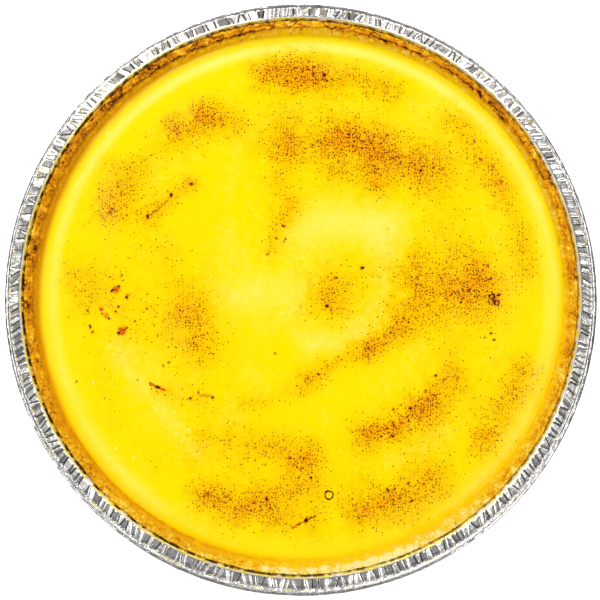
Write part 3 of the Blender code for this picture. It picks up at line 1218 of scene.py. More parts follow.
        # Pale flecks, partly standing in for highlights on the flakes.
        light = np.clip(1.6 * rough(places, self.fleck, 15.0) - 0.5, 0.0, 1.0)
        deep = np.array([self.relief(*where)[1] for where in zip(angle, radius)])
        ragged = self.ragged_depth * rough(places, self.ragged, 3.0)
        further = self.brink_further * np.maximum(0.0, towards(angle, 60.0))
        brink = bell((radius - inner + self.brink_inset - further + ragged) / self.brink)
        # The soaked slope is painted lighter towards +Y, where it lies in shade, and darker towards 170
        # degrees.
        soaked_side = 0.14 * towards(angle, 170.0) \
            - np.where(np.sin(angle) > 0.0, 0.26, 0.16) * np.sin(angle)
        # Burnt crust against the foil, which also stands in for the shade of the gap.
        burnt_and_shaded_from = self.burnt_and_shaded_from - 0.45 * MM * side
        against_foil = smooth_step((radius - burnt_and_shaded_from + 1.4 * ragged) / (0.2 * MM))
        # How baked it is, from the even bake of each side on.
        baked = 0.02 + 0.12 * smooth_step(side / 0.3) + 0.36 * side
        baked += (0.10 * patches - 0.28 * light) * (0.3 + 0.7 * side)
        # Painted shade in creases and painted light on lumps.
        baked += deep * (0.06 + 0.54 * side) + soaked * soaked_side
        for middle, reach, more in self.uneven:
            off = np.degrees(np.angle(np.exp(1j * (angle - math.radians(middle))))) / reach
            baked += more * bell(off)
        # Painted highlight: the outer rim is lighter towards 160 degrees.
        brim_highlight = smooth_step((radius - self.brim_highlight_from) / (0.8 * MM))
        baked -= 0.10 * brim_highlight * np.maximum(0.0, towards(angle, 160.0)) ** 2
        # The dark line at the inner edge: partly a browned crack, partly a painted shadow of the rim,
        # strongest towards 125 degrees.
        baked += 0.42 * brink * facing(angle, 125.0)
        return np.clip(np.maximum(baked, against_foil), 0.0, 1.0)


# ---- The lemon filling ----

def line_distance(start: Sequence[float], end: Sequence[float], across: Array,
                  along: Array) -> Array:
    """How far places lie from a straight line between two points.

    Args:
        start: One end of the line.
        end: The other end, which may be the same point.
        across: The places along X.
        along: The places along Y.

    Returns:
        One distance a place, in the same unit.
    """
    run_x, run_y = end[0] - start[0], end[1] - start[1]
    length = max(run_x ** 2 + run_y ** 2, 1e-9)
    share = np.clip(((across - start[0]) * run_x + (along - start[1]) * run_y) / length, 0.0, 1.0)
    return np.hypot(across - start[0] - share * run_x, along - start[1] - share * run_y)


@dataclass(frozen=True)
class Patch:
    """A soft patch of the filling, in millimetres: its middle, reach and strength."""

    x: float
    y: float
    reach_x: float
    reach_y: float
    strength: float

    def over(self, across: Array, along: Array) -> Array:
        """How strongly the patch shows at places given in millimetres."""
        away = ((across - self.x) / self.reach_x) ** 2 + ((along - self.y) / self.reach_y) ** 2
        return self.strength * np.exp(-away)


@dataclass(frozen=True)
class Swath:
    """A soft band of the filling along a line of points, in millimetres."""

    width: float
    strength: float
    points: Pairs

    def over(self, across: Array, along: Array) -> Array:
        """How strongly the band shows.

        Args:
            across: Places along X, in millimetres.
            along: Places along Y, in millimetres.

        Returns:
            One value a place.
        """
        away = [line_distance(start, end, across, along)
                for start, end in zip(self.points, self.points[1:])]
        return self.strength * np.exp(-(np.minimum.reduce(away) / self.width) ** 1.4)


class MarkKind(Enum):
    """What the oven left on the filling in one place."""

    SCORCH = "scorch"       # a dark spot or streak of burnt sugar
    EMBER = "ember"         # an orange-red spot or streak
    RING = "ring"           # the dark rim of a burst bubble
    PALE = "pale"           # a small pale fleck


@dataclass(frozen=True)
class Mark:
    """One mark on the filling, in millimetres: a streak, or a spot whose ends are one point."""

    kind: MarkKind
    size: float
    strength: float
    start: Pair
    end: Pair

    def away(self, across: Array, along: Array) -> Array:
        """How far places lie from the mark's line, in millimetres."""
        return line_distance(self.start, self.end, across, along)


SCORCH, EMBER, RING, PALE = MarkKind.SCORCH, MarkKind.EMBER, MarkKind.RING, MarkKind.PALE

# Where the oven browned it: width, strength and the points along the middle.
BROWNED = tuple(Swath(width, strength, points) for width, strength, *points in (
    (6, 0.8, (-13, 88), (-6, 89), (1, 88.5)), (5.5, 0.42, (1, 88), (9, 87)),
    (6, 0.42, (8, 87.5), (24, 86), (36, 82)), (6, 0.65, (-48, 65), (-36, 71)),
    (4.5, 0.3, (-36, 71), (-24, 69)), (7, 0.6, (-73, 36), (-69, 46)), (6, 0.18, (-66, 50), (-58, 59)),
    (3.5, 0.4, (-59, 33), (-50, 40), (-42, 45)),
    (10, 0.5, (-4, 62), (10, 62), (22, 61), (36, 57), (52, 51)), (7, 0.5, (20, 63), (28, 59)),
    (5, 0.35, (38, 55), (48, 51)), (6, 0.3, (14, 52), (30, 46)),
    (6, 0.2, (-8, 66), (-8, 50), (-6, 32)), (5, 0.25, (-12, 20), (-8, 30), (-4, 38)),
    (9, 0.6, (11, 1), (14, 5)), (5, 0.35, (44, 14), (44, 0), (41, -8)), (11, 0.46, (58, 3), (66, 4)),
    (5, 0.22, (70, 14), (74, 2)), (15, 0.28, (46, 5), (70, 5)),
    (4.5, 0.5, (40, -10), (33, -16), (26, -19)), (4, 0.38, (26, -19), (14, -24), (3, -31)),
    (4.5, 0.22, (3, -31), (-8, -38), (-22, -40)), (8, 0.45, (-43, -6), (-40, -14)),
    (13, 0.14, (-42, 4), (-38, -20)), (10, 0.16, (-72, 8), (-68, -14)), (8, 0.3, (-86, 10), (-82, 0)),
    (6.5, 0.62, (26, -52), (38, -49), (50, -41)), (7, 0.3, (50, -41), (60, -28)),
    (6, 0.36, (-35, -53), (-12, -57), (2, -61)), (7, 0.2, (1, -60), (2, -72)),
    (6.5, 0.6, (-35, -76), (-25, -81), (-14, -79)), (6, 0.3, (-10, -76), (2, -72)),
    (8, 0.66, (24, -81), (36, -78), (50, -70)), (7, 0.52, (72, -54), (79, -42), (86, -28)),
    (6, 0.4, (60, 70), (70, 57), (77, 45)), (5, 0.3, (77, 45), (86, 28), (89, 12)),
    (5, 0.28, (-5, -84), (4, -86)), (6, 0.12, (-80, -20), (-72, -48)),
    (5, 0.2, (-55, -36), (-38, -38)), (6, 0.12, (60, -26), (64, -34)),
    (9, 0.12, (-52, 18), (-50, -10)), (6, 0.1, (-60, -60), (-30, -84), (10, -92)),
    (5, 0.12, (44, -84), (62, -72), (74, -58)), (10, 0.07, (-46, -58), (-20, -66), (10, -66)),
    (8, 0.12, (56, 30), (60, 16)), (30, 0.05, (-60, 20), (-50, -30), (-20, -55)),
    (30, 0.05, (60, 50), (60, -30), (20, -70)), (25, 0.04, (-60, 30), (-20, 60), (20, 60))))

# Where it is paler, likewise: partly custard that stayed pale and partly painted highlights.
PALE_AND_HIGHLIGHT_AREAS = tuple(Swath(width, strength, points) for width, strength, *points in (
    (8.5, 0.95, (2, 28), (14, 31), (32, 29)), (5.5, 0.55, (33, 24), (33, 8), (31, -2)),
    (5, 0.8, (24, -10), (14, -16), (4, -17)), (9.5, 0.75, (-4, 2), (-16, 2), (-26, 2)),
    (6, 0.25, (-27, 26), (-24, 18)), (4, 0.55, (-72, -18), (-60, -36), (-48, -50), (-40, -58)),
    (8, 0.25, (-66, -22), (-50, -32)), (5, 0.3, (-28, -46), (-26, -44)),
    (6, 0.25, (-20, -26), (-18, -30)), (6, 0.3, (46, -20), (36, -30)),
    (3.5, 0.45, (56, -48), (46, -57), (34, -63)), (4, 0.25, (-28, 44), (-24, 60), (-10, 72), (6, 77)),
    (3.5, 0.25, (-58, 40), (-56, 52), (-40, 56)), (5, 0.15, (20, 76), (46, 72), (58, 60)),
    (4, 0.2, (74, 34), (76, 20)), (4, 0.15, (80, -8), (72, -26)), (5, 0.15, (8, -45), (10, -46)),
    (4.5, 0.3, (60, -79), (76, -64), (87, -48)), (4.5, 0.3, (-82, -52), (-70, -66), (-56, -80)),
    (5, 0.25, (50, 78), (56, 72))))

# Spots: their kind, size and strength, then where they lie.
SPOTS = (
    (SCORCH, 0.3, 1.0, (71.9, -14.3)), (SCORCH, 0.35, 1.0, (-51.7, 42.4)),
    (SCORCH, 0.4, 1.0, (-77.2, -5.2), (-74.8, -6.9), (-68.8, -11.4), (-6.4, 22.9), (-9.5, 24.2),
     (61.8, 2.1), (73.9, 8.5), (37.4, -8.6), (32.4, -17.1), (73.9, -12.9), (-58.6, -32.4),
     (-53.6, -25.5), (-51.1, -24.1), (-0.6, -68.9), (36.0, -42.5), (36.6, -73.2), (60.9, -30.5),
     (48.7, -35.2), (49.6, -38.6), (42.8, 43.6), (70.0, 54.9)),
    (SCORCH, 0.45, 1.0, (-72.0, -4.3), (-5.9, 24.0), (-13.0, 17.8), (7.1, -28.8), (25.2, -19.6),
     (36.2, -10.7), (75.1, -15.4), (-4.1, -61.3), (42.1, -71.2), (55.6, -30.9), (46.7, 50.6),
     (67.7, 61.9), (74.7, 52.1)),
    (SCORCH, 0.5, 1.0, (13.9, 8.7), (39.9, -6.8), (-39.6, -35.9), (-34.2, -37.9), (1.3, -61.3),
     (4.0, -68.9), (36.2, -48.7), (35.9, -52.6), (42.8, -50.1), (52.7, -29.1), (35.9, 55.3)),
    (SCORCH, 0.55, 1.0, (74.9, 0.2), (72.7, 13.7), (-42.9, -38.1)),
    (SCORCH, 0.6, 1.0, (-70.7, 5.5), (-67.6, 1.1), (-71.0, -2.4), (65.5, 3.8)),
    (SCORCH, 0.7, 1.0, (-6.8, 29.1), (42.6, -42.1), (43.2, -77.8)),
    (SCORCH, 0.75, 1.0, (-59.6, 32.7), (76.9, 2.0)),
    (SCORCH, 0.8, 1.0, (-42.5, 45.2), (-70.8, -12.6), (24.0, 12.6)),
    (SCORCH, 0.85, 1.0, (9.1, 87.5), (-50.4, 40.9), (10.2, -2.2), (2.3, -85.6)),
    (SCORCH, 0.9, 1.0, (-13.2, -77.1)),
    (SCORCH, 0.4, 0.8, (2.5, -30.3), (45.3, 8.4), (44.6, 3.8), (-63.3, -30.9)),
    (SCORCH, 0.45, 0.8, (-59.8, -3.1), (44.9, 6.0)), (SCORCH, 0.6, 0.8, (-82.7, -4.1)),
    (SCORCH, 0.3, 0.7, (-0.6, -87.2)), (SCORCH, 0.4, 0.7, (-15.2, 23.0)),
    (SCORCH, 0.5, 0.7, (-74.0, 9.1)), (SCORCH, 0.35, 0.5, (-37.0, 55.9)),
    (SCORCH, 0.4, 0.5, (-80.0, 6.9)), (EMBER, 0.6, 1.0, (-64.3, -8.2)),
    (EMBER, 0.7, 1.0, (-10.1, -20.6), (-87.1, -31.7), (5.8, -83.7), (29.3, 44.4)),
    (EMBER, 0.8, 1.0, (-69.5, 9.9), (-67.0, 1.9), (-80.9, -12.3), (-3.2, -88.3), (47.7, -71.6)),
    (EMBER, 0.9, 1.0, (12.0, -3.7), (39.0, -47.6)), (EMBER, 1.0, 1.0, (-67.9, -10.6)),
    (EMBER, 1.1, 1.0, (-77.6, -3.5)), (EMBER, 2.0, 1.0, (-71.8, 4.2)),
    (EMBER, 2.2, 1.0, (-69.6, -12.0)), (EMBER, 0.5, 0.8, (-56.0, 33.9)),
    (EMBER, 0.7, 0.7, (-67.0, 16.5)), (EMBER, 1.7, 0.7, (-75.6, -5.9)), (EMBER, 2.7, 0.65, (75.6, 0.1)),
    (EMBER, 0.8, 0.5, (-37.8, 56.2)), (EMBER, 1.0, 0.35, (75.9, -18.2)),
    (RING, 0.95, 1.0, (74.4, 1.4), (76.3, -0.9)), (RING, 1.55, 1.0, (11.0, -75.7)),
    (PALE, 0.3, 1.0, (24.6, 12.9)),
    (PALE, 0.6, 1.0, (-87.3, 45.2), (-75.1, 65.0), (-74.3, -18.1), (-71.8, -57.5), (-49.1, -43.5),
     (-46.0, -54.9), (-7.2, -4.9), (0.9, 16.5), (49.4, -57.7)),
    (PALE, 0.7, 1.0, (-59.2, 65.3), (-72.6, -21.0), (-40.2, -59.2), (-27.8, -47.6), (-65.2, -61.1),
     (-56.5, -42.3), (-48.7, -52.0), (-80.4, -32.0), (52.5, -56.1)),
    (PALE, 0.9, 1.0, (-43.3, -50.7)),
)

# Streaks: likewise, from one end to the other.
STREAKS = (
    (SCORCH, 0.24, 0.55, (-59.6, 32.7), (-54.8, 35.6)),
    (SCORCH, 0.22, 0.45, (-54.8, 35.6), (-50.9, 39.6)), (EMBER, 0.3, 0.5, (-59.6, 32.7), (-61.1, 29.6)),
    (SCORCH, 0.3, 0.6, (-75.1, 33.9), (-73.2, 35.1)), (SCORCH, 0.6, 1.0, (-73.6, 3.6), (-72.9, 4.4)),
    (SCORCH, 0.35, 0.7, (-82.1, -9.9), (-81.7, -10.7)), (SCORCH, 0.35, 0.8, (73.0, 0.0), (73.4, -1.4)),
    (SCORCH, 0.5, 1.0, (-56.2, -33.5), (-54.9, -33.9)),
    (EMBER, 0.75, 1.0, (-58.2, -32.6), (-53.2, -34.8)),
    (EMBER, 0.8, 0.6, (-38.8, -37.2), (-35.0, -37.0)), (EMBER, 0.42, 1.0, (-2.8, -88.1), (2.3, -85.6)),
    (SCORCH, 0.3, 0.8, (2.3, -85.6), (5.8, -83.7)), (SCORCH, 0.25, 0.5, (-39.2, -76.5), (-36.3, -75.1)),
    (SCORCH, 0.22, 0.5, (-41.0, -73.9), (-39.2, -76.5)),
    (SCORCH, 0.22, 0.45, (-36.3, -75.1), (-31.7, -76.7)),
    (SCORCH, 0.25, 0.55, (-31.7, -76.7), (-31.7, -78.0)),
    (SCORCH, 0.35, 0.8, (33.5, -73.2), (34.3, -74.3)), (SCORCH, 0.22, 0.5, (36.2, 55.3), (40.1, 56.8)),
    (SCORCH, 0.2, 0.45, (44.8, 58.3), (49.0, 56.1)), (SCORCH, 0.22, 0.5, (49.0, 56.1), (48.7, 53.0)),
    (SCORCH, 0.2, 0.5, (48.7, 53.0), (46.3, 50.8)), (SCORCH, 0.2, 0.45, (46.3, 50.8), (40.9, 52.2)),
    (EMBER, 0.4, 0.5, (41.0, 55.8), (44.5, 55.2)), (EMBER, 0.45, 0.5, (46.5, 55.6), (47.2, 53.4)),
    (SCORCH, 0.3, 0.5, (37.8, 53.0), (39.4, 52.6)))

MARKS = tuple(Mark(kind, size, strength, spot, spot)
              for kind, size, strength, *spots in SPOTS for spot in spots) \
    + tuple(Mark(*streak) for streak in STREAKS)


@dataclass
class LemonFilling:
    """The set filling: level in the middle, with a soft shoulder down to its edge."""

    form: CupForm
    level: float = 22.8 * MM
    shoulder: float = 9.5 * MM
    cells: int = 216                    # of the net that makes the top, each way
    close_cuts: int = 3                 # how finely the net is cut round a mark
    close_by: float = 0.75              # how far round it, in millimetres
    wave: float = 17.0 * MM             # slow unevenness of the poured top
    wave_depth: float = 0.10 * MM
    swirl_pitch: float = 21.0 * MM      # rings that stirring left
    swirl_depth: float = 0.05 * MM
    swirl_middle: Pair = (8.0 * MM, 6.0 * MM)
    dimple: float = 3.4 * MM
    dimple_depth: float = 0.015 * MM
    calm_edge: float = 4.0 * MM         # how far in from the case the waves start
    ring_inset: float = 4.6             # of the pale ring and its painted highlight, in millimetres
    ring_width: float = 2.1
    blister: float = 0.05 * MM          # scorched sugar stands proud
    least_browned: float = 0.035
    drifts: Pair = (6.0 * MM, 2.2 * MM)     # sizes of what makes the browned patches ragged
    uneven: float = 9.0 * MM
    bends: Pair = (1.3 * MM, 0.6 * MM)      # and of what makes the marks ragged
    ragged: float = 0.55 * MM
    mark_spread: float = 1.12               # of a mark's size
    mark_edge: float = 1.6                  # how steeply it fades
    bubble_wall: float = 0.45               # half the width of a burst bubble's rim
    halo_width: float = 0.55                # of the orange round a scorched spot
    mounds: tuple[Patch, ...] = (
        Patch(12, 86, 20, 5, 0.3), Patch(22, 58, 26, 13, 0.5), Patch(-39, 69, 9, 8, 0.3),
        Patch(-71, 40, 8, 12, 0.3), Patch(58, 4, 20, 14, 0.5), Patch(15, 1, 10, 11, 0.3),
        Patch(-39, -13, 12, 15, 0.4), Patch(36, -48, 13, 9, 0.4), Patch(-25, -76, 19, 8, 0.4),
        Patch(37, -76, 15, 9, 0.4))
    finish: SetLemonCustard = field(default_factory=SetLemonCustard)

    @property
    def inset(self) -> float:
        """How far in from the foil the filling's solid stays, clear of the case."""
        return 2 * self.form.clearance + self.form.case_wall

    @property
    def radius(self) -> float:
        """The filling's edge, which touches the case."""
        return self.form.wall_radius(self.form.edge_level, self.inset) + self.form.clearance

    def build(self) -> Piece:
        """Stretch a square net over the round top, shape it and give it a depth.

        Returns:
            The filling, with its browning and marks stored on its points.
        """
        bm = bmesh.new()
        bmesh.ops.create_grid(bm, x_segments=self.cells, y_segments=self.cells, size=1.0)
        for vertex in bm.verts:
            across, along, _ = vertex.co
            vertex.co.x = self.radius * across * math.sqrt(1.0 - along ** 2 / 2)
            vertex.co.y = self.radius * along * math.sqrt(1.0 - across ** 2 / 2) + self.form.shift
        self.cut_finer(bm)
        top = list(bm.verts)
        self.add_side(bm)
        self.raise_top(top)
        filling = finish_piece("lemon_custard", bm, self.finish.make(),
                               sharp_from=math.radians(70.0))
        self.dress(filling)
        return filling

    def cut_finer(self, bm: Mesh) -> None:
        """Cut the net finer round each mark, so that small marks stay crisp.

        Args:
            bm: The net.
        """
        faces = list(bm.faces)
        across, along, _ = np.array([face.calc_center_median() for face in faces]).T / MM
        near = np.logical_or.reduce([mark.away(across, along) < mark.size + self.close_by
                                     for mark in MARKS])
        edges = {edge for face, close in zip(faces, near) if close for edge in face.edges}
        bmesh.ops.subdivide_edges(bm, edges=list(edges), cuts=self.close_cuts,
                                  use_grid_fill=True)

    def add_side(self, bm: Mesh) -> None:
        """Take the net's edge down the case's inner wall and close the underside.

        Args:
            bm: The net.
        """
        form = self.form
        floor = form.foil + 2 * form.clearance + form.case_floor
        side = form.side(self.inset, floor, form.case_rounding, form.edge_level, 2, 2)[::-1]
        edge = [line for line in bm.edges if line.is_boundary]
        for radius, height in side[1:]:
            grown = bmesh.ops.extrude_edge_only(bm, edges=edge)["geom"]
            edge = [item for item in grown if isinstance(item, bmesh.types.BMEdge)
                    and item.is_boundary]
            for vertex in {vertex for line in edge for vertex in line.verts}:
                angle = math.atan2(vertex.co.y - form.shift, vertex.co.x)
                vertex.co = form.point(angle, radius, height)
        cap = bmesh.ops.contextual_create(bm, geom=edge)["faces"]
        bmesh.ops.poke(bm, faces=cap)

    def raise_top(self, top: Sequence[bmesh.types.BMVert]) -> None:
        """Give the top its shoulder, mounds, waves, dimples and blisters.

        Args:
            top: The top's points, still level.
        """
        places = np.array([vertex.co for vertex in top])
        inward = self.radius - self.form.polar(places)[1]
        above = 1.0 - np.maximum(0.0, 1.0 - inward / self.shoulder) ** 2
        height = self.form.edge_level + (self.level - self.form.edge_level) * above
        across, along, _ = places.T / MM
        for mound in self.mounds:
            height += mound.over(across, along) * MM * above
        calm = smooth_step(inward / self.calm_edge)
        height += self.wave_depth * rough(places, self.wave, 4.0) * calm
        from_middle = places[:, :2] - self.swirl_middle
        swirl = np.hypot(*from_middle.T) / self.swirl_pitch + np.arctan2(along, across) / TAU
        height += self.swirl_depth * np.sin(TAU * swirl) * calm
        height += self.dimple_depth * rough(places, self.dimple, 9.0) * calm
        height += self.blister * sum(smooth_step(self.marked(kind, across, along))
                                     for kind in (SCORCH, RING))
        for vertex, level in zip(top, height):
            vertex.co.z = level

    def marked(self, kind: MarkKind, across: Array, along: Array) -> Array:
        """How strongly one kind of mark shows.

        Args:
            kind: Which marks are read.
            across: Places along X, in millimetres.
            along: Places along Y, in millimetres.

        Returns:
            One value a place, 1 where a mark is full.
        """
        shown = np.zeros(len(across))
        for mark in MARKS:
            if mark.kind is kind:
                away = mark.away(across, along)
                away = np.abs(away - mark.size) / self.bubble_wall if kind is RING \
                    else away / (mark.size * self.mark_spread)
                faded = np.clip(self.mark_edge - self.mark_edge * away, 0.0, 1.0)
                shown = np.maximum(shown, mark.strength * faded)
        return shown

    def halo(self, across: Array, along: Array) -> Array:
        """The orange tint that each scorched spot leaves round it.

        Args:
            across: Places along X, in millimetres.
            along: Places along Y, in millimetres.

        Returns:
            One value a place, at most 0.6.
        """
        shown = np.zeros(len(across))
        for mark in MARKS:
            if mark.kind is SCORCH:
                away = mark.away(across, along) / (mark.size + self.halo_width)
                shown = np.maximum(shown, 0.6 * mark.strength * smooth_step(1.5 - 1.2 * away))
        return shown

    def dress(self, filling: Piece) -> None:
        """Store browning, scorch, embers, pale areas with painted highlights and the amber edge with
        its painted shadow on the points.

        Args:
            filling: The filling.
        """
        places = places_of(filling)
        level = places * (1.0, 1.0, 0.0)
        across, along, _ = places.T / MM
        coarse, fine = self.drifts
        drift = [rough(level, coarse, seed) + 0.8 * rough(level, fine, seed)
                 for seed in (5.0, 6.0)]
        warped = (across + 1.0 * drift[0], along + 0.9 * drift[1])
        browned, pale = (sum(swath.over(*warped) for swath in swaths)
                         for swaths in (BROWNED, PALE_AND_HIGHLIGHT_AREAS))
        uneven = rough(level, self.uneven, 7.0)
        browned = self.least_browned + browned * (1.0 + 0.20 * uneven + 0.15 * drift[0])
        coarse, fine = self.bends
        bent = [axis + 0.30 * rough(level, coarse, seed) + 0.16 * rough(level, fine, seed)
                for axis, seed in ((across, 8.0), (along, 9.0))]
        ragged = 1.0 + 0.35 * rough(level, self.ragged, 10.0)
        scorch, ember, ring, fleck = (self.marked(kind, *bent)
                                      for kind in (SCORCH, EMBER, RING, PALE))
        # Pale areas, flecks and the pale ring, partly painted highlights.
        pale = pale * 0.62 + 0.06 * uneven + fleck + self.pale_ring_and_highlight(places)
        set_fields(filling, {
            Field.BROWNING: np.clip(browned, 0.0, 1.0),
            Field.SCORCH: ragged * np.maximum(scorch, 0.9 * ring),
            Field.EMBER: 0.85 * ragged * np.maximum(ember, 0.9 * self.halo(*bent)),
            Field.PALE: np.clip(pale, 0.0, 1.0),
            Field.AMBER: self.amber(places, uneven)})

    def pale_ring_and_highlight(self, places: Array) -> Array:
        """The paler ring a little in from the case, partly custard that set first and partly a painted
        highlight on the shoulder, weakest towards -Y.

        Args:
            places: The filling's points.

        Returns:
            One value a point, at most 0.78.
        """
        angle, radius = self.form.polar(places)
        off_low = np.abs(angle + math.radians(90.0))
        strength = (0.20 + 0.58 * facing(angle, 85.0) ** 2) \
            * smooth_step(off_low / math.radians(40.0))
        inset = self.ring_inset + 1.4 * towards(angle, 160.0)
        return strength * bell(((self.radius - radius) / MM - inset) / self.ring_width)

    def amber(self, places: Array, uneven: Array) -> Array:
        """The darker edge against the case, widest on the -X side: partly custard browned at its edge
        and partly a painted shadow of the rim.

        Args:
            places: The filling's points.
            uneven: Slow noise at them.

        Returns:
            One value a point, 1 against the case.
        """
        angle, radius = self.form.polar(places)
        side = facing(angle, 155.0) ** 3
        width = (1.1 + 2.4 * side + 0.5 * uneven) * MM
        inward = self.radius - radius
        return (0.04 + 0.66 * side) * smooth_step(1.0 - inward / np.maximum(width, 0.6 * MM))


# ---- Crumbs ----

@dataclass
class PastryCrumbs:
    """Loose crumbs of the crust that lie along the lip."""

    form: CupForm
    count: int = 70
    smallest: float = 0.16 * MM
    largest: float = 0.42 * MM
    nest_height: float = 25.35 * MM
    from_mouth: float = 0.25 * MM
    squashed: float = 0.7
    lumpy: float = 0.45
    seed: int = 31
    # Burnt ones: where they lie along X and Y and their size, in millimetres.
    burnt: tuple[tuple[float, float, float], ...] = (
        (-13.2, 109.0, 0.75), (-10.1, 109.3, 0.6), (0.9, 109.3, 0.35))
    finish: BakedShortcrust = field(default_factory=BakedShortcrust)

    def build(self) -> Piece:
        """Scatter the crumbs and join them in one piece.

        Returns:
            The crumbs, with how browned each is stored on its points.
        """
        draw = random.Random(self.seed)
        bm = bmesh.new()
        baked = bm.verts.layers.float.new(Field.BROWNING.value)
        lip = self.form.mouth_radius - self.from_mouth
        for _ in range(self.count):
            angle = draw.uniform(0.0, TAU)
            size = draw.uniform(self.smallest, self.largest)
            place = self.form.point(angle, lip + draw.uniform(-0.35, 0.2) * MM,
                                    self.nest_height)
            self.add_crumb(bm, baked, place, size, draw.uniform(0.3, 0.9), draw)
        for across, along, size in self.burnt:
            place = Vector((across * MM, along * MM, self.nest_height - 0.05 * MM))
            self.add_crumb(bm, baked, place, size * MM, 0.95, draw)
        return finish_piece("crust_crumbs", bm, self.finish.make())

    def add_crumb(self, bm: Mesh, baked: bmesh.types.BMLayerItem, place: Vector,
                  size: float, browning: float, draw: random.Random) -> None:
        """Add one lumpy crumb.

        Args:
            bm: The mesh that takes it.
            baked: The layer that holds how browned a point is.
            place: Its middle.
            size: Its radius.
            browning: How browned it is.
            draw: Where its random shape comes from.
        """
        made = bmesh.ops.create_icosphere(bm, subdivisions=2, radius=1.0)["verts"]
        offset = Vector([draw.uniform(0, 90) for _ in range(3)])
        squash = Vector((draw.uniform(0.7, 1.2), draw.uniform(0.7, 1.2), self.squashed))
        for vertex in made:
            lump = 1.0 + self.lumpy * noise.noise(vertex.co * 1.6 + offset)
            vertex.co = place + vertex.co * squash * lump * size
            vertex[baked] = browning


# ---- Studio ----

@dataclass(frozen=True)
class SoftBox:
    """A soft square light that faces the tart."""

    name: str
    azimuth: float          # degrees from +X towards +Y
    tilt: float             # degrees off straight up
    distance: float
    side: float
    radiance: float

    def build(self, target: Vector) -> None:
        """Put the light up.

        Args:
            target: The place that it faces.
        """
        turn, lean = math.radians(self.azimuth), math.radians(self.tilt)
        way = Vector((math.sin(lean) * math.cos(turn), math.sin(lean) * math.sin(turn),
                      math.cos(lean)))
        lamp = bpy.data.lights.new(self.name, "AREA")
        lamp.shape = "SQUARE"
        lamp.size = self.side
        lamp.energy = self.radiance * math.pi * self.side ** 2
        holder = bpy.data.objects.new(self.name, lamp)
        holder.location = target + way * self.distance
        holder.rotation_euler = way.to_track_quat("Z", "Y").to_euler()
        bpy.context.scene.collection.objects.link(holder)


@dataclass(frozen=True)
class GlowLobe:
    """One side on which the white tent round the tart glows."""

    azimuth: float          # degrees from +X towards +Y
    tightness: float
    radiance: float


@dataclass(frozen=True)
class WhiteTent:
    """A white tent: dark where the camera looks in, with a glowing band round that."""

    band_from: Pair = (10.0, 15.0)       # degrees off straight up
    band_to: Pair = (17.0, 33.0)
    band_floor: float = 0.42
    horizon: float = 0.24
    dimmest: float = 0.02
    lobes: tuple[GlowLobe, ...] = (
        GlowLobe(115.0, 4.0, 0.35), GlowLobe(0.0, 12.0, 2.5), GlowLobe(180.0, 12.0, 2.5))

    def build(self) -> None:
        """Put the tent up as the scene's surroundings."""
        world = bpy.data.worlds.new("white_tent")
        world.use_nodes = True
        tree = world.node_tree
        way = add_node(tree, "TexCoord", out="Generated")
        up = add_node(tree, "SeparateXYZ", (way,), "Z")
        level = add_node(tree, "VectorMath", (way, (1.0, 1.0, 0.0)), operation="MULTIPLY")
        level = add_node(tree, "VectorMath", (level,), operation="NORMALIZE")
        glow = self.band_floor
        for lobe in self.lobes:
            share = add_node(tree, "VectorMath", (level, round_way(math.radians(lobe.azimuth))),
                             "Value", operation="DOT_PRODUCT")
            share = add_node(tree, "MapRange", (share, -1.0))
            share = add_node(tree, "Math", (share, lobe.tightness), operation="POWER")
            glow = add_node(tree, "Math", (share, lobe.radiance, glow), operation="MULTIPLY_ADD")
        band, beyond = (self.ease(tree, up, tilts) for tilts in (self.band_from, self.band_to))
        band = add_node(tree, "Math", (band, beyond), operation="SUBTRACT")
        glow = add_node(tree, "Math", (band, glow), operation="MULTIPLY")
        total = add_node(tree, "Math", (beyond, self.horizon, glow), operation="MULTIPLY_ADD")
        total = add_node(tree, "Math", (total, self.dimmest), operation="ADD")
        feed(tree, tree.nodes["Background"], {"Color": linear("FFFFFF"), "Strength": total})
        bpy.context.scene.world = world

    def ease(self, tree: Tree, up: Socket, tilts: Pair) -> Socket:
        """Rise from 0 to 1 between two tilts off straight up.

        Args:
            tree: The world's node tree.
            up: The height of the direction that is looked in.
            tilts: Where the rise starts and ends, in degrees.

        Returns:
            The socket with the eased value.
        """
        near, far = (math.cos(math.radians(tilt)) for tilt in tilts)
        return add_node(tree, "MapRange", (up, near, far), interpolation_type="SMOOTHSTEP")


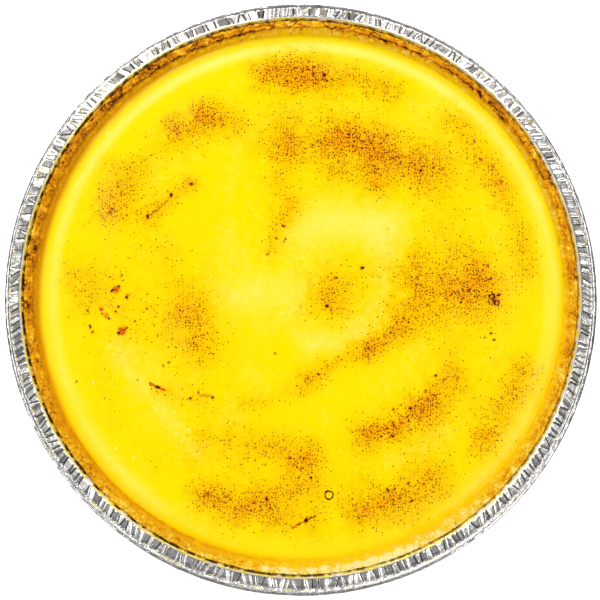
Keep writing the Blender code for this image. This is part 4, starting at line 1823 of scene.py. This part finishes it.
@dataclass
class Studio:
    """A plain white floor, a tent, soft boxes and a camera straight above."""

    floor_side: float = 4.0
    half_view: float = 116.4 * MM       # half the view's width, level with the rolled edge
    view_level: float = 24.3 * MM
    lens: float = 100.0                 # millimetres
    sensor: float = 36.0
    aim_x: float = -0.23 * MM
    aim_y: float = 0.16 * MM
    tent: WhiteTent = field(default_factory=WhiteTent)
    boxes: tuple[SoftBox, ...] = (
        SoftBox("key_box", 120.0, 55.0, 1.2, 0.8, 3.90),
        SoftBox("back_box", 60.0, 56.0, 1.2, 0.7, 2.25),
        SoftBox("left_box", 215.0, 56.0, 1.2, 0.7, 2.0),
        SoftBox("right_box", 320.0, 56.0, 1.2, 0.7, 3.15))

    def build(self) -> None:
        """Set up floor, lights, surroundings and camera."""
        bm = bmesh.new()
        bmesh.ops.create_grid(bm, x_segments=1, y_segments=1, size=self.floor_side / 2)
        floor = finish_piece("studio_floor", bm, MattePaint().make())
        for box in self.boxes:
            box.build(Vector((0.0, 0.0, self.view_level)))
        self.tent.build()
        view = bpy.data.cameras.new("camera")
        view.lens = self.lens
        view.sensor_width = self.sensor
        camera = bpy.data.objects.new("camera", view)
        height = self.half_view * self.lens / (self.sensor / 2)
        camera.location = (self.aim_x, self.aim_y, self.view_level + height)
        bpy.context.scene.collection.objects.link(camera)
        bpy.context.scene.camera = camera
        bpy.context.scene.view_settings.view_transform = "Standard"


# ---- The tart ----

def main() -> None:
    """Build the tart's pieces in order and report each one."""
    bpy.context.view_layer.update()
    low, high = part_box("foil_tin")
    form = CupForm(edge_radius=(high.x - low.x) / 2)
    builders = (
        (FoilTin(form), "foil_tin", "foil"),
        (PastryCase(form), "pastry_case", "pastry"),
        (LemonFilling(form), "lemon_filling", "filling"),
        (PastryCrumbs(form), None, "pastry"),
    )
    for builder, node, slot in builders:
        piece = builder.build()
        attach(piece, BODY)
        if node:
            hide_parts(node)
        log.info("%s: %d points", piece.name, len(piece.data.vertices))
    Studio().build()


if __name__ == "__main__":
    logging.basicConfig(level=logging.INFO, format="%(message)s")
    main()
